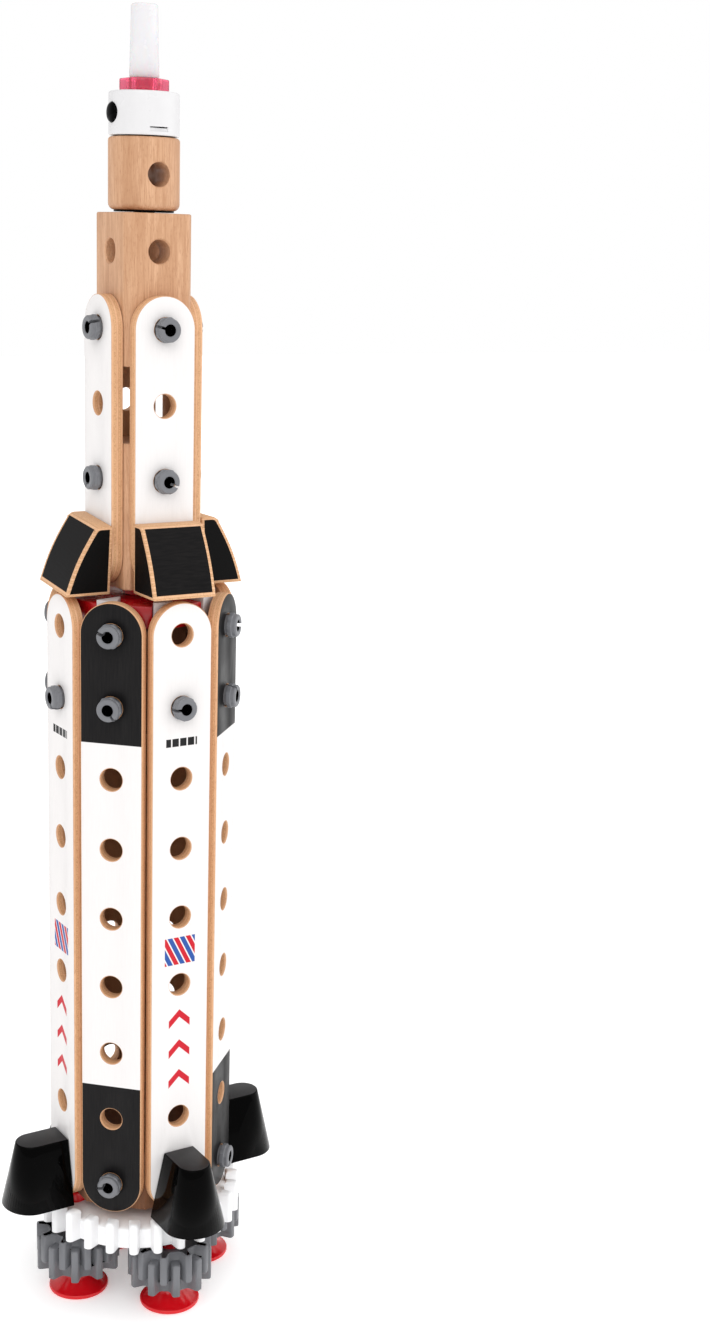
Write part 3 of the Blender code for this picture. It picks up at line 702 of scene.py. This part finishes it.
# %% Square blocks
for name in ("lower_block", "upper_block"):
    low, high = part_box(name)
    size, centre = high - low, (low + high) / 2
    block = bmesh.new()
    bmesh.ops.create_cube(block, size=1.0, matrix=Matrix.Translation(centre) @ Matrix.Diagonal((*size, 1)))
    upright = [e for e in block.edges if abs(e.verts[0].co.z - e.verts[1].co.z) > size.z / 2]
    soften(block, upright, 2.1 * MM, 1)
    upright = [e for e in block.edges if abs(e.verts[0].co.z - e.verts[1].co.z) > size.z / 2]
    soften(block, upright, 0.4 * MM)
    ends = [e for e in square_edges(block, 30) if abs(e.verts[0].co.z - e.verts[1].co.z) < MM]
    soften(block, ends, 0.7 * MM, 3)
    drills = [drill_form(size.z / 2, Matrix.Translation(centre))]
    for height in (centre.z - PITCH / 2, centre.z + PITCH / 2):
        drills += [drill_form(size.x / 2, Matrix.Translation((0, 0, height)) @ turn)
                   for turn in (ALONG_X, ALONG_Y)]
    finish_piece(f"beech_{name}", cut_away(block, drills), [BEECH], "rocket", [name])
print("drilled two square blocks")

# %% Turned block under the lamp
low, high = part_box("cylinder_block")
radius, centre = high.x, (low + high) / 2
corner = 1.4 * MM


def quarter(radius, height, size, start, steps=5):
    """Points round a quarter circle, for the rounded corner of a turned profile."""
    angles = [radians(start + 90 * k / steps) for k in range(steps + 1)]
    return [(radius + size * cos(a), height + size * sin(a)) for a in angles]


foot, round_foot = low.z + 0.7 * MM, 2.6 * MM
profile = ([(0, foot)] + quarter(radius - round_foot, foot + round_foot, round_foot, -90)
           + quarter(radius - corner, high.z - corner, corner, 0) + [(0, high.z)])
drills = [drill_form(radius, Matrix.Translation(centre) @ ALONG_Y),
          drill_form((high.z - low.z) / 2, Matrix.Translation(centre))]
finish_piece("beech_turned_block", cut_away(turned_form(profile, 96), drills), [BEECH], "cylinder",
             ["cylinder_block"])
# A black disc fills the gap under the turned block; its black is painted shade for the deep shadow in the gap.
shadow_disc_edge = radius - 2.2 * MM
shadow_disc = turned_form([(0, low.z), (shadow_disc_edge, low.z), (shadow_disc_edge, foot), (0, foot)], 64)
finish_piece("dark_shadow_disc", shadow_disc, [BLACK_PLASTIC], "cylinder", [])
print("turned and drilled the round block")

# %% [markdown]
# ## Skirt wedges
# A wedge is a stack of plywood with a swelling front. Its outline is drawn once from the side
# and extruded across. Insetting the front and the two cheeks leaves the narrow bare margins
# where the lacquer was sanded away, and the inner faces take the black. The cheeks take a
# darker black, which is painted shade on the sides that face away from the light. A single
# peg holds each wedge, so the left one has turned on it a little.

# %% Wedges
WEDGE_LOW, WEDGE_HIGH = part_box("skirt_wedge_front")
WEDGE_HALF = WEDGE_HIGH.x
WEDGE_TOP, WEDGE_FOOT = WEDGE_HIGH.z - level(9), WEDGE_LOW.z - level(9)
WEDGE_REACH = -WEDGE_LOW.y - SHORT_OUTER - RIVET_GAP
WEDGE_SHOULDER = 6.7 * MM
WEDGE_BULGE = 1.4 * MM
WEDGE_MARGIN = 1.3 * MM
WEDGE_ROLLS = {"left": -0.1}


def wedge_form(steps=14):
    form = bmesh.new()
    outline = [(0, WEDGE_FOOT), (0, WEDGE_TOP)]
    for k in range(steps + 1):
        t = k / steps
        depth = WEDGE_SHOULDER + (WEDGE_REACH - WEDGE_SHOULDER) * t + WEDGE_BULGE * sin(pi * t)
        outline.append((min(depth, WEDGE_REACH), WEDGE_TOP + (WEDGE_FOOT - WEDGE_TOP) * t))
    cheek = form.faces.new([form.verts.new((-WEDGE_HALF, height, depth)) for depth, height in outline])
    made = bmesh.ops.extrude_face_region(form, geom=[cheek])
    moved = [g for g in made["geom"] if isinstance(g, bmesh.types.BMVert)]
    bmesh.ops.translate(form, verts=moved, vec=(2 * WEDGE_HALF, 0, 0))
    clean(form)
    brow = [e for e in form.edges
            if all(v.co.y > WEDGE_TOP - 1e-5 and v.co.z > WEDGE_SHOULDER - 1e-5 for v in e.verts)]
    soften(form, brow, 1.8 * MM, 4)
    front = [f for f in form.faces if f.normal.z > 0.3 and abs(f.normal.x) < 0.1 and f.normal.y < 0.56]
    cheeks = [f for f in form.faces if abs(f.normal.x) > 0.9]
    outer = square_edges(form, 40)
    bmesh.ops.inset_region(form, faces=front, thickness=WEDGE_MARGIN, depth=0, use_even_offset=True)
    bmesh.ops.inset_individual(form, faces=cheeks, thickness=WEDGE_MARGIN * 0.9, depth=0, use_even_offset=True)
    painted = {v for f in front for v in f.verts}
    highest, lowest = max(v.co.y for v in painted), min(v.co.y for v in painted)
    for vert in painted:
        if vert.co.y > highest - 0.1 * MM:
            vert.co += Vector((0, 0.9 * MM, -0.5 * MM))
        elif vert.co.y < lowest + 0.1 * MM:
            vert.co += Vector((0, 0.6 * MM, -0.15 * MM))
    for face in form.faces:
        face.material_index = 1
    for face in front:
        face.material_index = 0
    # The cheeks take the darker black, which is painted shade.
    for face in cheeks:
        face.material_index = 2
    soften(form, [e for e in outer if e.is_valid], 0.35 * MM)
    return form


for side, degrees in FACES.items():
    roll = Matrix.Rotation(WEDGE_ROLLS.get(side, 0.0), 4, "Z")
    finish_piece(f"black_wedge_{side}", wedge_form(), [WEDGE_BLACK, WEDGE_PLY, CHEEK_BLACK_PAINTED_SHADE], "rocket",
                 [f"skirt_wedge_{side}"], facing(degrees, SHORT_OUTER + RIVET_GAP, level(9)) @ roll, crease=30)
print(f"made four wedges that reach {WEDGE_REACH / MM:.1f} mm out")

# %% [markdown]
# ## Engine fairings
# A fairing is a thin moulded shell, open underneath. Two D-shaped loops are bridged and the
# upper one is filled, which is all the shape there is. The upper edge is rounded while the
# shell is still one surface thick, and Solidify then gives it its wall.

# %% Fairings
FAIRING_START = LONG_OUTER + RIVET_GAP
FAIRING_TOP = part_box("engine_fairing_front")[1].z
FAIRING_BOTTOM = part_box("engine_fairing_front")[0].z
FAIRING_REACH = -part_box("engine_fairing_front")[0].y - FAIRING_START
FAIRING_FOOT_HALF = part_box("engine_fairing_front")[1].x
FAIRING_WALL = 1.8 * MM


def d_loop(form, half_width, straight, reach, height, steps=28):
    """A D-shaped loop of points: flat at the back, straight sides, an elliptical nose."""
    points = [(half_width, 0.0)]
    for k in range(steps + 1):
        turn = pi * k / steps
        points.append((half_width * cos(turn), straight + (reach - straight) * sin(turn)))
    points.append((-half_width, 0.0))
    verts = [form.verts.new((x, height, z)) for x, z in points]
    edges = [form.edges.new((verts[k - 1], verts[k])) for k in range(len(verts))]
    return verts, edges


def fairing_form():
    form = bmesh.new()
    top, top_edges = d_loop(form, 7.0 * MM, 14.0 * MM, 21.0 * MM, FAIRING_TOP - level(0))
    foot, foot_edges = d_loop(form, FAIRING_FOOT_HALF, 15.5 * MM, FAIRING_REACH, FAIRING_BOTTOM - level(0))
    bmesh.ops.bridge_loops(form, edges=top_edges + foot_edges)
    lid = form.faces.new(top)
    bmesh.ops.recalc_face_normals(form, faces=form.faces)
    if lid.normal.y < 0:
        bmesh.ops.reverse_faces(form, faces=form.faces)
    upright = [e for e in form.edges if len(e.link_faces) == 2 and lid not in e.link_faces
               and e.calc_face_angle() > radians(50)]
    soften(form, upright + list(lid.edges), 0.6 * MM, 3)
    # The flat top takes the satin black with its painted reflection.
    for face in form.faces:
        face.material_index = 1 if face.normal.y > 0.95 else 0
    return form


for side, degrees in FACES.items():
    fairing = finish_piece(f"black_fairing_{side}", fairing_form(), [BLACK_PLASTIC, SATIN_BLACK_PAINTED_REFLECTION], "rocket",
                           [f"engine_fairing_{side}"], facing(degrees, FAIRING_START, level(0)), crease=40)
    wall = fairing.modifiers.new("wall", "SOLIDIFY")
    wall.thickness = FAIRING_WALL
    wall.offset = -1
    wall.use_even_offset = True
print("made four fairings", round((FAIRING_TOP - FAIRING_BOTTOM) / MM, 1), "mm tall")

# %% [markdown]
# ## The base gear
# The white gear is a shallow cone inside a crown of tall teeth. The web and rim are turned
# together as one ring. Each tooth is a finger with a round top, narrower at its tip, that is
# set into the rim. It is shaped once and repeated round the gear. Towards its middle the web
# takes painted shade and a painted brown reflection of the wood above it.

# %% Base gear
GEAR_LOW, GEAR_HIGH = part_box("large_gear")
GEAR_TEETH = 26
GEAR_TIP, GEAR_ROOT = 44.3 * MM, 38.9 * MM
GEAR_PHASE = radians(-133)
TOOTH_TOP = 45.8 * MM
RIM_TOP = 41.2 * MM


def add_tooth(form, tip, root, tip_half, root_half, top, bottom):
    """One closed tooth like a finger, which narrows from the rim to its tip and has a round top."""
    outline = [(root, -root_half), (tip, -tip_half), (tip, tip_half), (root, root_half)]
    form.faces.new([form.verts.new((x, y, bottom)) for x, y in outline])
    thicken(form, top - bottom)
    bmesh.ops.recalc_face_normals(form, faces=form.faces)
    brow = [e for e in form.edges if all(v.co.z > top - 1e-5 for v in e.verts)]
    nose = [e for e in form.edges if all(v.co.x > tip - 1e-5 for v in e.verts)
            and abs(e.verts[0].co.z - e.verts[1].co.z) > MM]
    soften(form, brow + nose, 1.6 * MM, 5)


def toothed(teeth, phase, **tooth):
    """A ring of separate teeth."""
    form = bmesh.new()
    add_tooth(form, **tooth)
    first = form.verts[:] + form.edges[:] + form.faces[:]
    bmesh.ops.rotate(form, verts=form.verts, cent=(0, 0, 0), matrix=Matrix.Rotation(phase, 3, "Z"))
    for k in range(1, teeth):
        made = bmesh.ops.duplicate(form, geom=first)
        copies = [g for g in made["geom"] if isinstance(g, bmesh.types.BMVert)]
        bmesh.ops.rotate(form, verts=copies, cent=(0, 0, 0),
                         matrix=Matrix.Rotation(2 * pi * k / teeth, 3, "Z"))
    return form


def add_turned(form, profile, steps):
    """Add a ring turned about Z from a closed (radius, height) profile."""
    points = [form.verts.new((radius, 0, height)) for radius, height in profile]
    section = form.faces.new(points)
    edges = list(section.edges)
    form.faces.remove(section)
    bmesh.ops.spin(form, geom=points + edges, cent=(0, 0, 0), axis=(0, 0, 1), angle=2 * pi, steps=steps,
                   use_merge=True)


def make_gear_white_with_painted_shade():
    """White plastic with painted shade and a painted brown reflection of the wood towards the middle of the web."""
    mixture = Finish("gear_white", Roughness=0.32)
    place = mixture.object_place()
    x, y, _ = mixture.axes(place)
    radius = mixture.maths("SQRT", mixture.maths("ADD", mixture.maths("MULTIPLY", x, x),
                                                 mixture.maths("MULTIPLY", y, y)))
    cloud = mixture.maths("MULTIPLY", mixture.noise(place, 140, 3), 8 * MM)
    # Painted shade and painted reflection: brownish grey near the middle, white towards the rim.
    share = mixture.fade(mixture.maths("ADD", radius, cloud), 26 * MM, 42 * MM)
    mixture.dress("Base Color", mixture.mix(share, rgb(190, 166, 158), rgb(240, 240, 241)))
    mixture.bump(mixture.noise(place, 5200, 2), 0.01 * MM, 0.4)
    return mixture.material


GEAR_WHITE = make_gear_white_with_painted_shade()
gear = toothed(GEAR_TEETH, GEAR_PHASE, tip=GEAR_TIP, root=GEAR_ROOT - 0.6 * MM, tip_half=1.75 * MM,
               root_half=2.5 * MM, top=TOOTH_TOP, bottom=GEAR_LOW.z)
add_turned(gear, [
    (5 * MM, GEAR_LOW.z), (GEAR_ROOT - 0.3 * MM, GEAR_LOW.z), (GEAR_ROOT, GEAR_LOW.z + 0.3 * MM),
    (GEAR_ROOT, RIM_TOP - 0.5 * MM), (GEAR_ROOT - 0.5 * MM, RIM_TOP), (30 * MM, RIM_TOP + 1.8 * MM),
    (22 * MM, 44.1 * MM), (18 * MM, 44.5 * MM), (14.5 * MM, 44.6 * MM), (14 * MM, 47.2 * MM),
    (13.8 * MM, 47.4 * MM), (5 * MM, 47.4 * MM)], 104)
clean(gear)
finish_piece("white_base_gear", gear, [GEAR_WHITE], "base", ["large_gear"])
print("made the base gear with", GEAR_TEETH, "teeth")

# %% [markdown]
# ## The small gears
# Each small gear is two thin-walled crowns, one open upwards and one downwards, half a tooth
# apart. A crown is a toothed outline pulled up into a wall and capped at one end, so that it
# looks like a cup. Rounding the capped end gives the blunt tooth ends, and Solidify the wall.

# %% Small gears
PINION_TEETH = 10
PINION_TIP, PINION_ROOT = 18.3 * MM, 13.4 * MM
PINION_PHASES = {"front": -107, "left": -119, "right": -95, "back": -131}
PINION_WALL = 0.85 * MM
CROWNS = {"low": (11.7 * MM, 26.5 * MM, True), "high": (17.0 * MM, 30.3 * MM, False)}


def toothed_outline(teeth, phase):
    """Points round a gear whose teeth have straight flanks and softly rounded corners."""
    points = []
    for k in range(teeth):
        turn = phase + 2 * pi * k / teeth
        for radius, half in ((PINION_ROOT, -2.6), (PINION_ROOT + 0.9 * MM, -2.05), (PINION_TIP - 0.9 * MM, -1.7),
                             (PINION_TIP - 0.2 * MM, -1.35), (PINION_TIP, -0.8), (PINION_TIP, 0.8),
                             (PINION_TIP - 0.2 * MM, 1.35), (PINION_TIP - 0.9 * MM, 1.7),
                             (PINION_ROOT + 0.9 * MM, 2.05), (PINION_ROOT, 2.6)):
            angle = turn + half * MM / radius
            points.append((radius * cos(angle), radius * sin(angle)))
    return points


def add_crown(form, phase, low, high, capped_above):
    """A cup with a toothed wall, capped at one end and open at the other."""
    capped, opened = (high, low) if capped_above else (low, high)
    rim = [form.verts.new((x, y, opened)) for x, y in toothed_outline(PINION_TEETH, phase)]
    edges = [form.edges.new((rim[k - 1], rim[k])) for k in range(len(rim))]
    made = bmesh.ops.extrude_edge_only(form, edges=edges)
    walls = [g for g in made["geom"] if isinstance(g, bmesh.types.BMFace)]
    lid_points = [g for g in made["geom"] if isinstance(g, bmesh.types.BMVert)]
    lid_edges = [g for g in made["geom"] if isinstance(g, bmesh.types.BMEdge)
                 and all(v in lid_points for v in g.verts)]
    bmesh.ops.translate(form, verts=lid_points, vec=(0, 0, capped - opened))
    lid = bmesh.ops.contextual_create(form, geom=lid_edges)["faces"]
    bmesh.ops.recalc_face_normals(form, faces=walls + lid)
    up = 1 if capped_above else -1
    if lid[0].normal.z * up < 0:
        bmesh.ops.reverse_faces(form, faces=walls + lid)
    soften(form, list(lid[0].edges), 1.2 * MM, 4)


for side, degrees in FACES.items():
    centre = middle_of(f"small_gear_{side}")
    form = bmesh.new()
    for k, (low, high, capped_above) in enumerate(CROWNS.values()):
        add_crown(form, radians(PINION_PHASES[side]) + k * pi / PINION_TEETH, low, high, capped_above)
    small_gear = finish_piece(f"grey_gear_{side}", form, [GREY_PLASTIC, BLACK_PLASTIC], f"gear_{side}",
                              [f"small_gear_{side}"], Matrix.Translation((centre.x, centre.y, 0)))
    wall = small_gear.modifiers.new("wall", "SOLIDIFY")
    wall.thickness = PINION_WALL
    wall.offset = -1
    # The wall's inner skin takes black: painted shade inside the cups and hollow teeth.
    wall.material_offset = 1
print("made four small gears with two crowns of", PINION_TEETH, "teeth")

# %% [markdown]
# ## Feet
# The feet are wide-headed bolts. Everything about them is round, so one turned profile does
# it, with the shallow dome drawn as a curve from the rim to the neck.

# %% Feet
FOOT_RADIUS = 13 * MM


def foot_form():
    dome = [(FOOT_RADIUS - 0.25 * MM - (FOOT_RADIUS - 6.6 * MM) * t, 1.9 * MM + 4.7 * MM * (0.35 * t + 0.65 * t * t))
            for t in (k / 10 for k in range(11))]
    profile = ([(0, 0.5 * MM), (7 * MM, 0.5 * MM), (8 * MM, 0), (FOOT_RADIUS - 0.8 * MM, 0),
                (FOOT_RADIUS - 0.2 * MM, 0.35 * MM), (FOOT_RADIUS, 0.9 * MM), (FOOT_RADIUS, 1.5 * MM)] + dome
               + [(6.0 * MM, 7.6 * MM), (5.9 * MM, 11.4 * MM), (4.2 * MM, 11.4 * MM), (4.2 * MM, 44.1 * MM),
                  (5.2 * MM, 44.1 * MM), (5.1 * MM, 46.2 * MM), (4.6 * MM, 47.2 * MM), (4.3 * MM, 47.4 * MM),
                  (0, 47.4 * MM)])
    return turned_form(profile, 72)


for side in FACES:
    centre = middle_of(f"foot_bolt_{side}")
    finish_piece(f"red_foot_{side}", foot_form(), [RED_PLASTIC], "base", [f"foot_bolt_{side}"],
                 Matrix.Translation((centre.x, centre.y, 0)))
print("made four feet")

# %% [markdown]
# ## The lamp
# The lamp's body is turned. Its button hole and light slot are cut with a Boolean, because
# both run into a curved wall. The slot is a shallow pocket with a thin slit under its roof,
# so its roof looks dark and its floor catches light.

# %% Lamp body
LAMP_LOW, LAMP_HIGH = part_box("lamp_housing")
LAMP_RADIUS = LAMP_HIGH.x
BUTTON_MIDDLE = middle_of("lamp_button").z
BUTTON_RADIUS = 3.8 * MM
SLOT_HEIGHT = LAMP_LOW.z + 2.3 * MM


def rounded_box(size, width, at):
    form = bmesh.new()
    bmesh.ops.create_cube(form, size=1.0, matrix=Matrix.Diagonal((*size, 1)))
    soften(form, form.edges[:], width)
    bmesh.ops.transform(form, matrix=at, verts=form.verts)
    return form


corner = 1.0 * MM
inner = LAMP_RADIUS - 1.6 * MM
profile = ([(3.2 * MM, LAMP_HIGH.z - 1.6 * MM), (3.2 * MM, LAMP_HIGH.z)]
           + quarter(LAMP_RADIUS - corner, LAMP_HIGH.z - corner, corner, 0)[::-1]
           + [(LAMP_RADIUS, LAMP_LOW.z + 0.3 * MM), (LAMP_RADIUS - 0.3 * MM, LAMP_LOW.z), (inner, LAMP_LOW.z),
              (inner, LAMP_HIGH.z - 1.6 * MM)])
lamp = bmesh.new()
add_turned(lamp, profile, 96)
clean(lamp)
button_hole = turned_form([(0, -3 * MM), (BUTTON_RADIUS + 0.25 * MM, -3 * MM), (BUTTON_RADIUS + 0.25 * MM, 3 * MM),
                           (0, 3 * MM)], 40)
bmesh.ops.transform(button_hole, matrix=facing(180, LAMP_RADIUS, BUTTON_MIDDLE), verts=button_hole.verts)
slot = rounded_box((7.9 * MM, 2 * MM, 1.9 * MM), 0.15 * MM,
                   Matrix.Translation((0, -LAMP_RADIUS - 0.1 * MM, SLOT_HEIGHT)))
slit = rounded_box((7.5 * MM, 7 * MM, 0.5 * MM), 0.05 * MM,
                   Matrix.Translation((0, -LAMP_RADIUS, SLOT_HEIGHT + 0.65 * MM)))
finish_piece("white_lamp_body", cut_away(lamp, [button_hole, slot, slit]), [LAMP_WHITE], "lamp",
             ["lamp_housing"])
print("made the lamp body")

# %% Button, nut and light tube
button = turned_form([(0, -2.4 * MM), (BUTTON_RADIUS, -2.4 * MM), (BUTTON_RADIUS, 0.15 * MM)]
                     + [(BUTTON_RADIUS * cos(a), 0.2 * MM + 1.2 * MM * sin(a))
                        for a in (radians(6 + 84 * k / 10) for k in range(11))], 48)
finish_piece("black_button", button, [BLACK_PLASTIC], "button", ["lamp_button"],
             facing(180, LAMP_RADIUS, BUTTON_MIDDLE))

NUT_LOW, NUT_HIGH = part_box("hex_nut")
nut = bmesh.new()
bmesh.ops.create_circle(nut, cap_ends=False, segments=6, radius=9.9 * MM,
                       matrix=Matrix.Rotation(radians(4.3), 4, "Z"))
bmesh.ops.create_circle(nut, cap_ends=False, segments=48, radius=4.8 * MM)
bmesh.ops.triangle_fill(nut, use_beauty=True, use_dissolve=False, edges=nut.edges[:], normal=(0, 0, 1))
thicken(nut, NUT_HIGH.z - NUT_LOW.z)
clean(nut)
soften(nut, square_edges(nut, 40), 0.6 * MM, 3)
finish_piece("red_nut", nut, [CLEAR_RED], "lamp", ["hex_nut"],
             Matrix.Translation((0, 0, NUT_LOW.z)), crease=30)

TUBE_LOW, TUBE_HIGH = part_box("light_tube")
corner = 0.9 * MM
tube = turned_form([(0, TUBE_LOW.z), (4.5 * MM, TUBE_LOW.z), (4.5 * MM, NUT_HIGH.z + RIVET_GAP),
                    (5.7 * MM, NUT_HIGH.z + RIVET_GAP), (5.9 * MM, NUT_HIGH.z + 2 * RIVET_GAP)]
                   + quarter(5.3 * MM - corner, TUBE_HIGH.z - corner, corner, 0) + [(0, TUBE_HIGH.z)], 64)
finish_piece("milky_tube", tube, [MILKY_PLASTIC], "lamp", ["light_tube"])
print("made the button, the nut and the tube")

# %% [markdown]
# ## The upper hub
# A red star fills the top of the octagon, with pale inserts in the pockets between its arms
# and a wooden core under it. The star's red and the core's brown are darkened with painted
# shade, as both sit in shadow deep inside. Only slivers of them show over the strips' round
# ends. All of them are flat outlines pulled up into prisms.

# %% Wood in painted shade
def make_wood_in_painted_shade():
    """Beech darkened with painted shade, for what is hidden in shadow inside."""
    mixture = Finish("wood_in_painted_shade", Roughness=0.6, Specular_IOR_Level=0.2)
    colour, height = beech_colour(mixture, mixture.object_place(), (1, 1, 0.06), rgb(132, 92, 66), rgb(104, 70, 50))
    mixture.dress("Base Color", colour)
    mixture.bump(height, 0.12 * MM, 0.35)
    return mixture.material


WOOD_IN_PAINTED_SHADE = make_wood_in_painted_shade()
print("mixed", WOOD_IN_PAINTED_SHADE.name)

# %% Upper hub
HUB_LOW, HUB_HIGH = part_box("upper_hub")
STAR_FOOT = level(8) + 1.5 * MM
ARM_HALF, ARM_REACH = 7 * MM, 29.5 * MM
EIGHTH = radians(45)
HUB_TURN = radians(-9)
VALLEY = ARM_HALF / sin(EIGHTH / 2)


def prism(outline, bottom, top, edge):
    """Pull a flat outline up into a solid and round its edges."""
    form = bmesh.new()
    form.faces.new([form.verts.new((x, y, bottom)) for x, y in outline])
    thicken(form, top - bottom)
    clean(form)
    soften(form, square_edges(form, 25), edge)
    return form


star = []
for k in range(8):
    turn = Matrix.Rotation((k + 0.5) * EIGHTH + HUB_TURN, 2)
    valley = (k + 1) * EIGHTH + HUB_TURN
    star += [turn @ Vector((ARM_REACH, -ARM_HALF)), turn @ Vector((ARM_REACH, ARM_HALF)),
             Vector((VALLEY * cos(valley), VALLEY * sin(valley)))]
# The star takes the red with painted shade.
finish_piece("red_star_hub", prism(star, STAR_FOOT, HUB_HIGH.z, 0.5 * MM), [RED_IN_PAINTED_SHADE], "rocket",
             ["upper_hub"])
core = [(24 * MM * cos((k + 0.5) * EIGHTH), 24 * MM * sin((k + 0.5) * EIGHTH)) for k in range(8)]
# The core takes the wood with painted shade.
finish_piece("hub_core_in_painted_shade", prism(core, HUB_LOW.z, STAR_FOOT, 0.5 * MM), [WOOD_IN_PAINTED_SHADE], "rocket", [])

insert_reach = 30.6 * MM
insert_half = (ARM_REACH - VALLEY) * sin(EIGHTH / 2) / cos(EIGHTH / 2) - 0.3 * MM
for k in range(8):
    insert = prism([(VALLEY + MM, -0.4 * MM), (ARM_REACH, -insert_half), (insert_reach, -insert_half),
                    (insert_reach, insert_half), (ARM_REACH, insert_half), (VALLEY + MM, 0.4 * MM)],
                   STAR_FOOT + MM, HUB_HIGH.z + 1.6 * MM, 0.2 * MM)
    finish_piece(f"pale_hub_insert_{k + 1}", insert, [PALE_PLASTIC], "rocket", [],
                 Matrix.Rotation(k * EIGHTH + HUB_TURN, 4, "Z"))
print("made the star hub, its core and its eight inserts")

# %% [markdown]
# ## Pieces that keep their frame shape
# Little or nothing of these can be seen, and their solids already have the right shape. They
# only take a finish, in the material slots of the frame's own objects.

# %% Lower hub, pins and the lamp's inside
def make_metal(name, colour):
    """Stamped steel with a fine brushed skin."""
    mixture = Finish(name, Metallic=1.0)
    scratch = mixture.noise(mixture.stretch(mixture.object_place(), (1, 0.05, 1)), 4000, 2)
    mixture.dress("Roughness", mixture.fade(scratch, 0.3, 0.7, 0.22, 0.4))
    mixture.dress("Base Color", mixture.mix(scratch, colour, rgb(150, 150, 152)))
    return mixture.material


# The lower hub takes the wood with painted shade, as it sits in shadow deep inside.
KEPT = {
    "stage_pin": RED_PLASTIC, "centre_bolt": RED_PLASTIC, "lower_hub": WOOD_IN_PAINTED_SHADE,
    "cylinder_pin": GREY_PLASTIC, "lamp_base_cover": GREY_PLASTIC,
    "coin_cell": make_metal("cell_steel", rgb(205, 205, 208)),
    "led_board": plastic("board_green", rgb(34, 110, 62), 0.35, 0.5, 0.02 * MM),
}
for node, dress in KEPT.items():
    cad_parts[node].data.materials.clear()
    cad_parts[node].data.materials.append(dress)
print("dressed", len(KEPT), "frame pieces")
